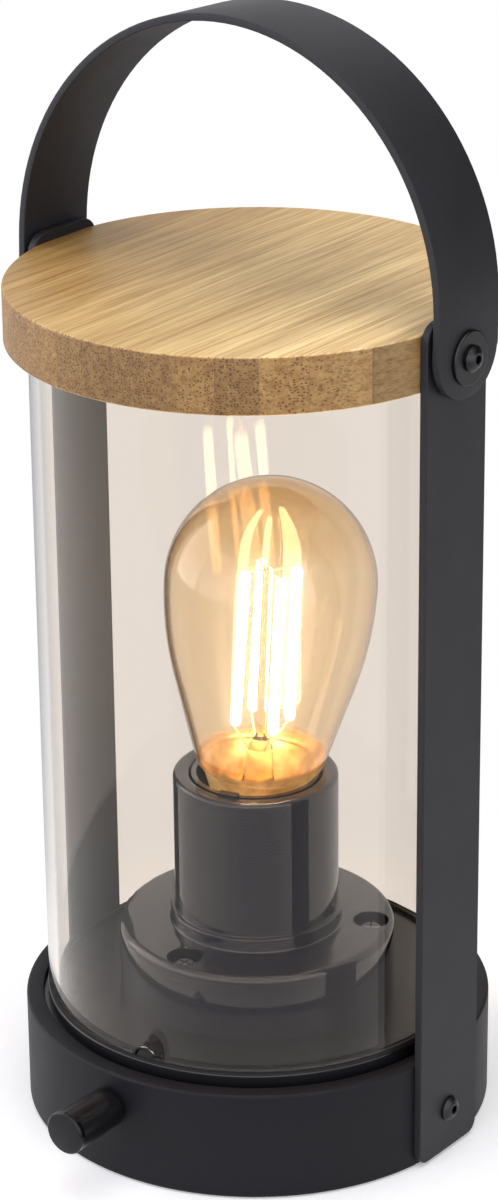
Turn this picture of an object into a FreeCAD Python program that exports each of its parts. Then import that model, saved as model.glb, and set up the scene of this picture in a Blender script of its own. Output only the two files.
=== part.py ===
import FreeCAD, Part
import math
import os
import re

import Sketcher
from FreeCAD import Placement, Rotation, Vector

# Lantern table lamp: a drum base, a clear tube round a filament bulb, a bamboo lid,
# two flat uprights that tie lid and base together, and a strap handle that swings.
# Millimetres. Origin: centre of the resting surface. +Z up, the knob at -Y and the
# uprights at +X and -X, so the handle swings about X.

os.makedirs("parts", exist_ok=True)
doc = FreeCAD.newDocument("LanternLamp")

# ---------------------------------------------------------------- sizes
SIZES = {
    # base drum, wider than the tube by a margin
    "base_margin": 7.0,
    "base_wall": 3.0,
    "base_top": 35.0,
    "base_edge_round": 0.8,
    "lip_thickness": 1.5,
    "lip_gap": 1.3,
    "seat_flat": 1.5,
    "foot_drop": 1.5,
    "pad_radius": 50.0,
    "pad_recess": 0.6,
    "cover_thickness": 2.5,
    "cover_gap": 0.4,
    # moulded deck that carries the tube and the lampholder
    "deck_rise": 3.0,
    "deck_floor": 2.5,
    "deck_step": 0.3,
    "deck_wall": 2.5,
    "deck_flange": 2.5,
    "deck_gap": 0.3,
    "deck_hole": 7.0,
    "post_inset": 11.0,
    "post_angle": 45.0,
    "post_radius": 4.0,
    "side_boss_width": 12.0,
    "side_boss_depth": 11.0,
    # clear tube and its seals
    "tube_radius": 65.0,
    "tube_wall": 3.0,
    "gasket_thickness": 0.8,
    "notch_radius": 3.0,
    "notch_angle": 6.0,
    # bamboo lid
    "lid_bottom": 247.5,
    "lid_thickness": 17.0,
    "lid_edge_round": 0.6,
    "groove_depth": 4.0,
    "groove_gap": 0.5,
    "insert_radius": 3.0,
    "insert_length": 9.0,
    # uprights
    "upright_width": 29.0,
    "upright_thickness": 2.5,
    "upright_foot": 1.0,
    "upright_rise": 3.0,
    "upright_top_round": 6.0,
    "upright_foot_round": 4.0,
    "pivot_inset": 9.0,
    "base_screw_height": 15.0,
    # handle and its pivots
    "strap_width": 29.0,
    "strap_thickness": 2.3,
    "strap_drop": 12.2,
    "arch_rise": 10.8,
    "handle_lean": 2.5,
    "spacer_radius": 6.0,
    "spacer_thickness": 1.3,
    "washer_radius": 8.0,
    "washer_thickness": 1.2,
    "swing_gap": 0.05,
    # screws
    "bolt_radius": 1.95,
    "bolt_fit": 0.05,
    "bolt_hole_gap": 0.25,
    "bolt_head_radius": 3.9,
    "bolt_head_height": 2.2,
    "hex_key": 2.5,
    "hex_depth": 1.3,
    "pivot_bolt_length": 16.0,
    "base_bolt_length": 13.0,
    "cover_screw_radius": 1.5,
    "cover_screw_head": 2.8,
    "cover_screw_length": 10.0,
    # lampholder
    "flange_radius": 42.5,
    "flange_height": 21.0,
    "flange_wall": 3.0,
    "flange_round": 2.2,
    "collar_radius": 26.6,
    "collar_height": 4.5,
    "sleeve_radius": 25.3,
    "sleeve_wall": 2.7,
    "sleeve_height": 49.0,
    "sleeve_lip": 2.4,
    "sleeve_lip_height": 4.0,
    "sleeve_lip_round": 1.2,
    "pocket_radius": 5.5,
    "pocket_circle": 35.5,
    "pocket_depth": 4.5,
    "holder_screw_radius": 1.95,
    "holder_screw_head": 3.75,
    "holder_screw_head_height": 2.6,
    "holder_screw_length": 24.0,
    "core_floor": 4.0,
    "core_gap": 0.5,
    "core_skirt_wall": 1.6,
    "core_wall_height": 30.0,
    "latch_width": 6.0,
    "latch_angle": 14.0,
    "latch_hook": 1.2,
    "latch_thickness": 0.9,
    "shell_radius": 13.95,
    "shell_wall": 0.5,
    "shell_fit": 0.35,
    # bulb, seated in the lampholder
    "bulb_seat_gap": 3.4,
    "bulb_length": 139.4,
    "bulb_radius": 32.0,
    "bulb_glass_wall": 0.9,
    "bulb_lean": 2.9,
    "bulb_lean_bearing": 38.0,
    "neck_gap": 0.5,
    "bulb_side_sweep": 110.0,
    "bulb_neck_radius": 19.8,
    "bulb_neck_rise": 50.1,
    "bulb_shoulder": 5.0,
    "cap_radius": 13.1,
    "cap_wall": 0.4,
    "cap_length": 26.0,
    "cap_rim_radius": 14.3,
    "cap_contact_radius": 4.8,
    "filament_radius": 1.0,
    "filament_rise": 60.6,
    "filament_length": 50.0,
    "filament_foot_circle": 8.8,
    "filament_head_circle": 7.4,
    "filament_turn": 58.0,
    "wire_radius": 0.35,
    # dimmer and knob
    "knob_radius": 6.75,
    "knob_back_radius": 6.2,
    "knob_length": 20.5,
    "knob_gap": 1.0,
    "knob_turn": 63.0,
    "knob_notch": 5.0,
    "knob_chamfer": 0.6,
    "knob_height": 24.0,
    "dial_shaft_radius": 2.0,
    "dial_shaft_length": 11.5,
    "dial_flat": 1.5,
    "dial_bush_radius": 3.0,
    "dial_nut": 8.0,
    "dial_nut_thickness": 2.0,
    "dial_case": 12.0,
    "dial_case_depth": 7.0,
    # battery and board
    "cell_radius": 9.2,
    "cell_length": 65.0,
    "cell_pitch": 20.0,
    "tray_wall": 1.5,
    "board_thickness": 1.6,
    "board_length": 38.0,
    "board_width": 22.0,
    "board_inset": 9.0,
    "standoff_height": 6.0,
    "port_width": 9.0,
    "port_height": 3.2,
    "port_gap": 0.5,
    "lead_radius": 0.9,
    "lead_pitch": 3.0,
    "lead_bend": 6.0,
}

sheet = doc.addObject("Spreadsheet::Sheet", "Sizes")
for row, (name, value) in enumerate(SIZES.items(), 1):
    sheet.set("A%d" % row, name)
    sheet.set("B%d" % row, repr(value))
    sheet.setAlias("B%d" % row, name)
doc.recompute()

# Places that several pieces share, each worked out from the sizes above.
PLACES = {
    "base_radius": "tube_radius + base_margin",
    "lid_radius": "base_radius",
    "base_bore": "base_radius - base_wall",
    "deck_radius": "tube_radius + deck_step",
    "deck_top": "base_top + deck_rise",
    "post_circle": "base_bore - post_inset",
    "board_rear": "base_bore - board_inset",
    "lip_radius": "deck_radius + lip_gap",
    "lip_under": "base_top - lip_thickness",
    "cover_top": "foot_drop + cover_thickness",
    "cover_radius": "base_bore - cover_gap",
    "deck_under": "deck_top - deck_floor",
    "deck_outer": "base_bore - deck_gap",
    "flange_under": "lip_under - deck_flange",
    "tube_bore": "tube_radius - tube_wall",
    "tube_foot": "deck_top + gasket_thickness",
    "groove_top": "lid_bottom + groove_depth",
    "tube_head": "groove_top - gasket_thickness",
    "lid_top": "lid_bottom + lid_thickness",
    "pivot_height": "lid_top - pivot_inset",
    "arch_height": "pivot_height + arch_rise",
    "upright_top": "lid_top + upright_rise",
    "base_flat": "base_radius - seat_flat",
    "upright_face": "base_flat + upright_thickness",
    "strap_inner": "upright_face + spacer_thickness + swing_gap",
    "strap_outer": "strap_inner + strap_thickness",
    "washer_inner": "strap_outer + swing_gap",
    "washer_outer": "washer_inner + washer_thickness",
    "bolt_hole": "bolt_radius + bolt_fit",
    "clear_hole": "bolt_radius + bolt_hole_gap",
    "flange_top": "deck_top + flange_height",
    "sleeve_top": "flange_top + sleeve_height",
    "pocket_floor": "flange_top - pocket_depth",
    "holder_floor": "flange_top - 2 * flange_wall",
    "core_seat": "flange_top - flange_wall",
    "core_top": "sleeve_top - 0.2",
    "core_step": "core_seat + core_floor + core_wall_height",
    "bulb_tip": "core_seat + core_floor + bulb_seat_gap",
    "bulb_neck_height": "bulb_tip + bulb_neck_rise",
    "filament_bottom": "bulb_tip + filament_rise",
    "core_outer": "sleeve_mouth - core_gap",
    "sleeve_bore": "sleeve_radius - sleeve_wall",
    "sleeve_mouth": "sleeve_bore - sleeve_lip",
    "core_bore": "shell_radius + shell_fit",
    "dial_face": "sqrt(base_bore ^ 2 - (dial_case / 2) ^ 2) - 0.02",
    "knob_back": "base_radius + knob_gap",
    "knob_front": "knob_back + knob_length",
    "nut_back": "base_radius + 0.05",
    "shaft_tip": "nut_back + dial_nut_thickness + 1 + dial_shaft_length",
    "board_under": "cover_top + standoff_height",
    "board_top": "board_under + board_thickness",
    "tray_floor": "cover_top + tray_wall",
    "cell_height": "tray_floor + cell_radius + 0.15",
    "lead_level": "flange_under - 2",
    "bulb_crown": "bulb_tip + bulb_length - bulb_radius",
    "cap_bottom": "bulb_tip + 5.2",
    "cap_top": "bulb_tip + cap_length + 3.6",
}


def formula(text):
    """The same formula, with every size looked up in the sheet."""
    def swap(match):
        word = match.group(0)
        if word in SIZES:
            return "Sizes." + word
        if word in PLACES:
            return "(" + formula(PLACES[word]) + ")"
        return word
    return re.sub(r"[a-z][a-z_]*[a-z]", swap, text)


def number(text):
    """The formula's value in millimetres, for starting shapes and for finding edges."""
    return float(sheet.evalExpression(formula(text)))


# ---------------------------------------------------------------- sketch and feature helpers
def new_body(label):
    """A body whose label is also its file's name."""
    body = doc.addObject("PartDesign::Body", label)
    body.Label = label
    return body


def datum(body, role):
    """One of the body's own origin planes or axes."""
    for feature in body.Origin.OriginFeatures:
        if feature.Role == role:
            return feature
    raise ValueError(role)


def new_sketch(body, plane, name, offset=None, swing=None):
    """An empty sketch on one of the body's origin planes, lifted by a formula, or
    swung about its own upright axis by a formula in degrees."""
    sketch = body.newObject("Sketcher::SketchObject", body.Name + "_" + name)
    sketch.AttachmentSupport = [(datum(body, plane), "")]
    sketch.MapMode = "FlatFace"
    if offset is not None:
        sketch.setExpression("AttachmentOffset.Base.z", formula(offset))
    if swing is not None:
        sketch.setExpression("AttachmentOffset.Rotation.Pitch", formula(swing))
    return sketch


def tie(sketch, kind, first, first_end, second, second_end, text):
    """A distance between two points of a sketch, driven by a formula."""
    value = number(text)
    index = sketch.addConstraint(
        Sketcher.Constraint(kind, first, first_end, second, second_end, value))
    sketch.setExpression("Constraints[%d]" % index, formula(text))


def pin_point(sketch, element, end, point):
    """Holds one point of a sketch at a pair of formulas."""
    for kind, axis, text in (("DistanceX", -2, point[0]), ("DistanceY", -1, point[1])):
        if text == "0":
            sketch.addConstraint(Sketcher.Constraint("PointOnObject", element, end, axis))
        else:
            tie(sketch, kind, -1, 1, element, end, text)


def draw_polygon(sketch, points):
    """A closed outline through pairs of formulas."""
    first = len(sketch.Geometry)
    corners = [Vector(number(x), number(y), 0) for x, y in points]
    for index, corner in enumerate(corners):
        following = corners[(index + 1) % len(corners)]
        sketch.addGeometry(Part.LineSegment(corner, following), False)
    for index in range(len(corners)):
        following = first + (index + 1) % len(corners)
        sketch.addConstraint(
            Sketcher.Constraint("Coincident", first + index, 2, following, 1))
    for index, point in enumerate(points):
        pin_point(sketch, first + index, 1, point)


def draw_box(sketch, low, high):
    """An upright rectangle between two corners."""
    corners = [low, (high[0], low[1]), high, (low[0], high[1])]
    draw_polygon(sketch, corners)


def draw_circle(sketch, centre, radius):
    """A circle with its centre and radius driven by formulas."""
    middle = Vector(number(centre[0]), number(centre[1]), 0)
    index = sketch.addGeometry(Part.Circle(middle, Vector(0, 0, 1), number(radius)), False)
    pin_point(sketch, index, 3, centre)
    size = sketch.addConstraint(Sketcher.Constraint("Radius", index, number(radius)))
    sketch.setExpression("Constraints[%d]" % size, formula(radius))


def draw_axis(sketch, start, end):
    """A construction line that a profile turns about; drawn before the profile."""
    line = Part.LineSegment(
        Vector(number(start[0]), number(start[1]), 0),
        Vector(number(end[0]), number(end[1]), 0))
    index = sketch.addGeometry(line, True)
    pin_point(sketch, index, 1, start)
    pin_point(sketch, index, 2, end)


def turn(body, sketch, axis="V_Axis", groove=False):
    """Turns a profile all the way round an axis of its sketch."""
    kind = "PartDesign::Groove" if groove else "PartDesign::Revolution"
    feature = body.newObject(kind, sketch.Name + ("_groove" if groove else "_turned"))
    feature.Profile = sketch
    feature.ReferenceAxis = (sketch, [axis])
    feature.Angle = 360
    return feature


def pad(body, sketch, length, side="One side", back=False):
    """Raises a sketch by a formula, away from its plane or to both sides."""
    feature = body.newObject("PartDesign::Pad", sketch.Name + "_pad")
    feature.Profile = sketch
    feature.setExpression("Length", formula(length))
    feature.SideType = side
    feature.Reversed = back
    return feature


def pocket(body, sketch, depth=None, side="One side", back=False):
    """Cuts a sketch into the body, to a depth or right through."""
    feature = body.newObject("PartDesign::Pocket", sketch.Name + "_cut")
    feature.Profile = sketch
    feature.SideType = side
    feature.Reversed = back
    if depth is None:
        feature.Type = "ThroughAll"
    else:
        feature.setExpression("Length", formula(depth))
    return feature


def ring_of(body, features, count, angle=360):
    """Repeats features round the body's Z axis."""
    pattern = body.newObject("PartDesign::PolarPattern", features[-1].Name + "_ring")
    pattern.Originals = features
    pattern.Axis = (datum(body, "Z_Axis"), [""])
    pattern.Angle = angle
    pattern.Occurrences = count
    body.Tip = pattern
    return pattern


def row_of(body, features, axis, count, length):
    """Repeats features along one of the body's axes over a length."""
    pattern = body.newObject("PartDesign::LinearPattern", features[-1].Name + "_row")
    pattern.Originals = features
    pattern.Direction = (datum(body, axis), [""])
    pattern.setExpression("Length", formula(length))
    pattern.Occurrences = count
    body.Tip = pattern
    return pattern


def mirror_of(body, features, plane):
    """Repeats features on the other side of one of the body's planes."""
    mirror = body.newObject("PartDesign::Mirrored", features[-1].Name + "_pair")
    mirror.Originals = features
    mirror.MirrorPlane = (datum(body, plane), [""])
    body.Tip = mirror
    return mirror


def find_edges(shape, wanted):
    """Names of the edges whose middle point passes a test."""
    names = []
    for index, edge in enumerate(shape.Edges, 1):
        low, high = edge.ParameterRange
        middle = edge.valueAt((low + high) / 2)
        if wanted(edge, middle):
            names.append("Edge%d" % index)
    return names


def round_edges(body, wanted, radius, chamfer=False):
    """Rounds or chamfers the edges that pass a test."""
    doc.recompute()
    base = body.Tip
    kind = "PartDesign::Chamfer" if chamfer else "PartDesign::Fillet"
    feature = body.newObject(kind, base.Name + ("_bevel" if chamfer else "_round"))
    feature.Base = (base, find_edges(base.Shape, wanted))
    feature.setExpression("Size" if chamfer else "Radius", formula(radius))
    return feature


def near(value, text):
    """True where a coordinate equals a formula."""
    return abs(value - number(text)) < 0.02


def circle_edge(radius, height):
    """A test for round edges about Z at a radius and height."""
    def wanted(edge, middle):
        return near(math.hypot(middle.x, middle.y), radius) and near(middle.z, height)
    return wanted


def spin(body, text):
    """Turns a whole body about Z by a formula in degrees."""
    body.setExpression("Placement.Rotation.Yaw", formula(text))


def button_screws(label, seat, height, length):
    """Two socket screws that point at the Z axis, with their heads seated at a radius."""
    body = new_body(label)
    sketch = new_sketch(body, "XZ_Plane", "profile")
    tip = seat + " - " + length
    crown = seat + " + bolt_head_height"
    draw_axis(sketch, (tip, height), (crown, height))
    draw_polygon(sketch, [
        (tip, height),
        (tip, height + " + bolt_radius - 0.4"),
        (tip + " + 0.4", height + " + bolt_radius"),
        (seat, height + " + bolt_radius"),
        (seat, height + " + bolt_head_radius"),
        (seat + " + 0.35 * bolt_head_height", height + " + bolt_head_radius"),
        (seat + " + 0.8 * bolt_head_height", height + " + 0.75 * bolt_head_radius"),
        (crown, height + " + 0.5 * bolt_head_radius"),
        (crown, height),
    ])
    shank = turn(body, sketch, "Axis0")
    socket = new_sketch(body, "YZ_Plane", "socket", crown)
    half = "hex_key / 2"
    side = "hex_key / sqrt(3)"
    draw_polygon(socket, [
        ("-(" + half + ")", height + " - " + side + " / 2"),
        ("0", height + " - " + side),
        (half, height + " - " + side + " / 2"),
        (half, height + " + " + side + " / 2"),
        ("0", height + " + " + side),
        ("-(" + half + ")", height + " + " + side + " / 2"),
    ])
    cut = pocket(body, socket, "hex_depth")
    mirror_of(body, [shank, cut], "YZ_Plane")
    return body


def radial_rings(label, inner, outer, low, high, height):
    """Two flat rings on the X axis at a height, one each side of the lamp."""
    body = new_body(label)
    sketch = new_sketch(body, "YZ_Plane", "ring", low)
    draw_circle(sketch, ("0", height), outer)
    draw_circle(sketch, ("0", height), inner)
    ring = pad(body, sketch, high + " - (" + low + ")")
    mirror_of(body, [ring], "YZ_Plane")
    return body


# ---------------------------------------------------------------- base drum
# One turned shell: wall, in-turned top lip, and two flats that seat the uprights.
base_housing = new_body("base_housing")
profile = new_sketch(base_housing, "XZ_Plane", "profile")
draw_polygon(profile, [
    ("base_bore", "foot_drop"),
    ("base_radius", "foot_drop"),
    ("base_radius", "base_top"),
    ("lip_radius", "base_top"),
    ("lip_radius", "lip_under"),
    ("base_bore", "lip_under"),
])
turn(base_housing, profile)
round_edges(base_housing, circle_edge("base_radius", "base_top"), "base_edge_round")
round_edges(base_housing, circle_edge("base_radius", "foot_drop"), "base_edge_round")
flats = new_sketch(base_housing, "XY_Plane", "flats")
draw_box(flats, ("base_flat", "-upright_width"), ("base_radius + 2", "upright_width"))
flat_cut = pocket(base_housing, flats, "base_top + 5", back=True)
mirror_of(base_housing, [flat_cut], "YZ_Plane")
screw_holes = new_sketch(base_housing, "YZ_Plane", "screw_holes")
draw_circle(screw_holes, ("0", "base_screw_height"), "clear_hole")
pocket(base_housing, screw_holes, side="Symmetric")
dial_hole = new_sketch(base_housing, "XZ_Plane", "dial_hole")
draw_circle(dial_hole, ("0", "knob_height"), "dial_bush_radius + 0.2")
pocket(base_housing, dial_hole, back=True)
port_hole = new_sketch(base_housing, "XZ_Plane", "port_hole")
draw_box(port_hole,
         ("-port_width / 2 - port_gap", "board_top - port_gap"),
         ("port_width / 2 + port_gap", "board_top + port_height + port_gap"))
pocket(base_housing, port_hole)

# Bottom cover: a disc with countersunk screw holes, a pad recess and board standoffs.
bottom_cover = new_body("bottom_cover")
disc = new_sketch(bottom_cover, "XY_Plane", "disc", "foot_drop")
draw_circle(disc, ("0", "0"), "cover_radius")
pad(bottom_cover, disc, "cover_thickness")
screw_sink = new_sketch(bottom_cover, "XZ_Plane", "screw_sink", swing="post_angle")
draw_axis(screw_sink, ("post_circle", "foot_drop - 1"), ("post_circle", "cover_top + 1"))
draw_polygon(screw_sink, [
    ("post_circle", "foot_drop"),
    ("post_circle + cover_screw_head + 0.1", "foot_drop"),
    ("post_circle + cover_screw_radius + 0.2", "foot_drop + 1.3"),
    ("post_circle + cover_screw_radius + 0.2", "cover_top"),
    ("post_circle", "cover_top"),
])
sink = turn(bottom_cover, screw_sink, "Axis0", groove=True)
ring_of(bottom_cover, [sink], 3)
recess = new_sketch(bottom_cover, "XY_Plane", "pad_recess", "foot_drop")
draw_circle(recess, ("0", "0"), "pad_radius + 0.2")
pocket(bottom_cover, recess, "pad_recess", back=True)
standoff = new_sketch(bottom_cover, "XY_Plane", "standoff", "cover_top")
draw_circle(standoff, ("board_length / 2 - 4", "board_rear - 4"), "2.5")
standoff_pad = pad(bottom_cover, standoff, "standoff_height")
standoff_row = mirror_of(bottom_cover, [standoff_pad], "YZ_Plane")
near_standoff = new_sketch(bottom_cover, "XY_Plane", "near_standoff", "cover_top")
draw_circle(near_standoff, ("0", "board_rear - board_width + 4"), "2.5")
pad(bottom_cover, near_standoff, "standoff_height")

# Three countersunk screws, driven up into the deck's posts.
cover_screws = new_body("cover_screws")
profile = new_sketch(cover_screws, "XZ_Plane", "profile", swing="post_angle")
draw_axis(profile, ("post_circle", "foot_drop"), ("post_circle", "foot_drop + 12"))
draw_polygon(profile, [
    ("post_circle", "foot_drop + 0.7"),
    ("post_circle + 0.9", "foot_drop + 0.7"),
    ("post_circle + 1.3", "foot_drop"),
    ("post_circle + cover_screw_head", "foot_drop"),
    ("post_circle + cover_screw_radius", "foot_drop + 1.3"),
    ("post_circle + cover_screw_radius", "foot_drop + cover_screw_length - 0.5"),
    ("post_circle + cover_screw_radius - 0.5", "foot_drop + cover_screw_length"),
    ("post_circle", "foot_drop + cover_screw_length"),
])
cover_screw = turn(cover_screws, profile, "Axis0")
ring_of(cover_screws, [cover_screw], 3)

# One round rubber pad, let into the cover, that the lamp stands on.
rubber_pad = new_body("rubber_pad")
disc = new_sketch(rubber_pad, "XY_Plane", "disc")
draw_circle(disc, ("0", "0"), "pad_radius")
pad(rubber_pad, disc, "foot_drop + pad_recess")
round_edges(rubber_pad, circle_edge("pad_radius", "0"), "0.4")

# ---------------------------------------------------------------- deck
# A moulded plate that stands up through the lip, with screw posts below it.
deck = new_body("deck")
profile = new_sketch(deck, "XZ_Plane", "profile")
draw_polygon(profile, [
    ("deck_hole", "deck_under"),
    ("deck_radius - deck_wall", "deck_under"),
    ("deck_radius - deck_wall", "flange_under"),
    ("deck_outer", "flange_under"),
    ("deck_outer", "lip_under"),
    ("deck_radius", "lip_under"),
    ("deck_radius", "deck_top"),
    ("deck_hole", "deck_top"),
])
turn(deck, profile)
round_edges(deck, circle_edge("deck_radius", "deck_top"), "0.4")
post = new_sketch(deck, "XY_Plane", "post", "cover_top")
post_centre = ("post_circle * cos(post_angle)", "post_circle * sin(post_angle)")
draw_circle(post, post_centre, "post_radius")
draw_circle(post, post_centre, "cover_screw_radius + bolt_fit")
post_pad = pad(deck, post, "deck_under - cover_top + 0.5")
ring_of(deck, [post_pad], 3)
side_boss = new_sketch(deck, "XY_Plane", "side_boss", "base_screw_height - 7")
boss_outer = "sqrt(deck_outer ^ 2 - (side_boss_width / 2) ^ 2)"
draw_box(side_boss,
         (boss_outer + " - side_boss_depth", "-side_boss_width / 2"),
         (boss_outer, "side_boss_width / 2"))
boss_pad = pad(deck, side_boss, "flange_under - base_screw_height + 7.5")
mirror_of(deck, [boss_pad], "YZ_Plane")
side_hole = new_sketch(deck, "YZ_Plane", "side_hole")
draw_circle(side_hole, ("0", "base_screw_height"), "bolt_hole")
pocket(deck, side_hole, side="Symmetric")
holder_boss = new_sketch(deck, "XY_Plane", "holder_boss", "deck_under")
draw_circle(holder_boss, ("0", "-pocket_circle"), "holder_screw_radius + 2")
holder_boss_pad = pad(deck, holder_boss, "10", back=True)
ring_of(deck, [holder_boss_pad], 3)
holder_hole = new_sketch(deck, "XY_Plane", "holder_hole", "deck_top")
draw_circle(holder_hole, ("0", "-pocket_circle"), "holder_screw_radius + bolt_fit")
holder_cut = pocket(deck, holder_hole, "deck_floor + 10")
ring_of(deck, [holder_cut], 3)

# ---------------------------------------------------------------- tube and seals
# The notch in the tube's lower edge sits over a half-round key on the lower seal.
glass_tube = new_body("glass_tube")
profile = new_sketch(glass_tube, "XZ_Plane", "profile")
draw_box(profile, ("tube_bore", "tube_foot"), ("tube_radius", "tube_head"))
turn(glass_tube, profile)
notch = new_sketch(glass_tube, "XZ_Plane", "notch")
draw_circle(notch, ("0", "tube_foot"), "notch_radius")
pocket(glass_tube, notch, back=True)
spin(glass_tube, "notch_angle")

tube_seal = new_body("tube_seal")
profile = new_sketch(tube_seal, "XZ_Plane", "profile")
draw_box(profile, ("tube_bore", "deck_top"), ("tube_radius", "deck_top + gasket_thickness"))
turn(tube_seal, profile)
key = new_sketch(tube_seal, "XZ_Plane", "key", "tube_bore + 0.6")
key_radius = "notch_radius - 0.4"
draw_polygon(key, [
    ("-(" + key_radius + ")", "deck_top + gasket_thickness / 2"),
    (key_radius, "deck_top + gasket_thickness / 2"),
    (key_radius, "tube_foot"),
    ("0.7 * (" + key_radius + ")", "tube_foot + 0.7 * (" + key_radius + ")"),
    ("0", "tube_foot + " + key_radius),
    ("-0.7 * (" + key_radius + ")", "tube_foot + 0.7 * (" + key_radius + ")"),
    ("-(" + key_radius + ")", "tube_foot"),
])
pad(tube_seal, key, "tube_wall - 1.2")
spin(tube_seal, "notch_angle")

lid_seal = new_body("lid_seal")
profile = new_sketch(lid_seal, "XZ_Plane", "profile")
draw_box(profile, ("tube_bore", "tube_head"), ("tube_radius", "groove_top"))
turn(lid_seal, profile)

# ---------------------------------------------------------------- bamboo lid
bamboo_lid = new_body("bamboo_lid")
profile = new_sketch(bamboo_lid, "XZ_Plane", "profile")
draw_polygon(profile, [
    ("0", "lid_bottom"),
    ("tube_bore - groove_gap", "lid_bottom"),
    ("tube_bore - groove_gap", "groove_top"),
    ("tube_radius + groove_gap", "groove_top"),
    ("tube_radius + groove_gap", "lid_bottom"),
    ("lid_radius", "lid_bottom"),
    ("lid_radius", "lid_top"),
    ("0", "lid_top"),
])
turn(bamboo_lid, profile)
round_edges(bamboo_lid, circle_edge("lid_radius", "lid_top"), "lid_edge_round")
round_edges(bamboo_lid, circle_edge("lid_radius", "lid_bottom"), "lid_edge_round")
lid_flats = new_sketch(bamboo_lid, "XY_Plane", "flats", "lid_bottom - 1")
draw_box(lid_flats, ("base_flat", "-upright_width"), ("lid_radius + 2", "upright_width"))
lid_flat_cut = pocket(bamboo_lid, lid_flats, "lid_thickness + 2", back=True)
mirror_of(bamboo_lid, [lid_flat_cut], "YZ_Plane")
insert_hole = new_sketch(bamboo_lid, "YZ_Plane", "insert_hole", "base_flat")
draw_circle(insert_hole, ("0", "pivot_height"), "insert_radius")
insert_cut = pocket(bamboo_lid, insert_hole, "insert_length")
mirror_of(bamboo_lid, [insert_cut], "YZ_Plane")

# Threaded brass inserts, pressed into the lid's rim behind each upright.
lid_inserts = radial_rings("lid_inserts", "bolt_hole", "insert_radius",
                           "base_flat - insert_length", "base_flat", "pivot_height")


# ---------------------------------------------------------------- uprights
def upright(label, half_turn):
    """A flat strip with rounded corners, screwed to the base and to the lid."""
    body = new_body(label)
    strip = new_sketch(body, "YZ_Plane", "strip", "base_flat")
    draw_box(strip, ("-upright_width / 2", "upright_foot"), ("upright_width / 2", "upright_top"))
    pad(body, strip, "upright_thickness")

    def corner(edge, middle, height):
        across = edge.Length < number("upright_thickness") + 0.01
        return across and near(middle.z, height)
    round_edges(body, lambda e, p: corner(e, p, "upright_top") and near(abs(p.y), "upright_width / 2"),
                "upright_top_round")
    round_edges(body, lambda e, p: corner(e, p, "upright_foot") and near(abs(p.y), "upright_width / 2"),
                "upright_foot_round")
    holes = new_sketch(body, "YZ_Plane", "holes")
    draw_circle(holes, ("0", "pivot_height"), "clear_hole")
    draw_circle(holes, ("0", "base_screw_height"), "clear_hole")
    pocket(body, holes, side="Symmetric")
    spin(body, half_turn)
    return body


upright_right = upright("upright_right", "0")
upright_left = upright("upright_left", "180")
base_bolts = button_screws("base_bolts", "upright_face", "base_screw_height", "base_bolt_length")

# ---------------------------------------------------------------- handle
# One strap bent over in a half circle, with full round ends, turning on two bolts.
handle_strap = new_body("handle_strap")
arch = new_sketch(handle_strap, "XZ_Plane", "arch")
top = number("arch_height")
ends = number("pivot_height - strap_drop")
inner = number("strap_inner")
outer = number("strap_outer")
centre = Vector(0, top, 0)
up = Vector(0, 0, 1)
arch.addGeometry(Part.ArcOfCircle(Part.Circle(centre, up, outer), 0, math.pi), False)
arch.addGeometry(Part.LineSegment(Vector(-outer, top, 0), Vector(-outer, ends, 0)), False)
arch.addGeometry(Part.LineSegment(Vector(-outer, ends, 0), Vector(-inner, ends, 0)), False)
arch.addGeometry(Part.LineSegment(Vector(-inner, ends, 0), Vector(-inner, top, 0)), False)
arch.addGeometry(Part.ArcOfCircle(Part.Circle(centre, up, inner), 0, math.pi), False)
arch.addGeometry(Part.LineSegment(Vector(inner, top, 0), Vector(inner, ends, 0)), False)
arch.addGeometry(Part.LineSegment(Vector(inner, ends, 0), Vector(outer, ends, 0)), False)
arch.addGeometry(Part.LineSegment(Vector(outer, ends, 0), Vector(outer, top, 0)), False)
for a, a_end, b, b_end in ((0, 2, 1, 1), (1, 2, 2, 1), (2, 2, 3, 1), (3, 2, 4, 2),
                           (4, 1, 5, 1), (5, 2, 6, 1), (6, 2, 7, 1), (7, 2, 0, 1)):
    arch.addConstraint(Sketcher.Constraint("Coincident", a, a_end, b, b_end))
for line in (1, 3, 5, 7):
    arch.addConstraint(Sketcher.Constraint("Vertical", line))
for line in (2, 6):
    arch.addConstraint(Sketcher.Constraint("Horizontal", line))
arch.addConstraint(Sketcher.Constraint("PointOnObject", 0, 3, -2))
arch.addConstraint(Sketcher.Constraint("Coincident", 0, 3, 4, 3))
tie(arch, "DistanceY", -1, 1, 0, 3, "arch_height")
tie(arch, "DistanceY", -1, 1, 1, 2, "pivot_height - strap_drop")
tie(arch, "DistanceY", -1, 1, 6, 1, "pivot_height - strap_drop")
tie(arch, "DistanceX", -1, 1, 0, 1, "strap_outer")
tie(arch, "DistanceX", -1, 1, 4, 1, "strap_inner")
arch.addConstraint(Sketcher.Constraint("Horizontal", 0, 3, 0, 1))
arch.addConstraint(Sketcher.Constraint("Horizontal", 0, 3, 0, 2))
arch.addConstraint(Sketcher.Constraint("Horizontal", 4, 3, 4, 1))
arch.addConstraint(Sketcher.Constraint("Horizontal", 4, 3, 4, 2))
pad(handle_strap, arch, "strap_width", side="Symmetric")
round_edges(handle_strap,
            lambda e, p: near(p.z, "pivot_height - strap_drop")
            and near(abs(p.y), "strap_width / 2"),
            "strap_width / 2 - 0.05")
pivot_hole = new_sketch(handle_strap, "YZ_Plane", "pivot_hole")
draw_circle(pivot_hole, ("0", "pivot_height"), "bolt_radius + 2 * bolt_fit")
pocket(handle_strap, pivot_hole, side="Symmetric")
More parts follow.
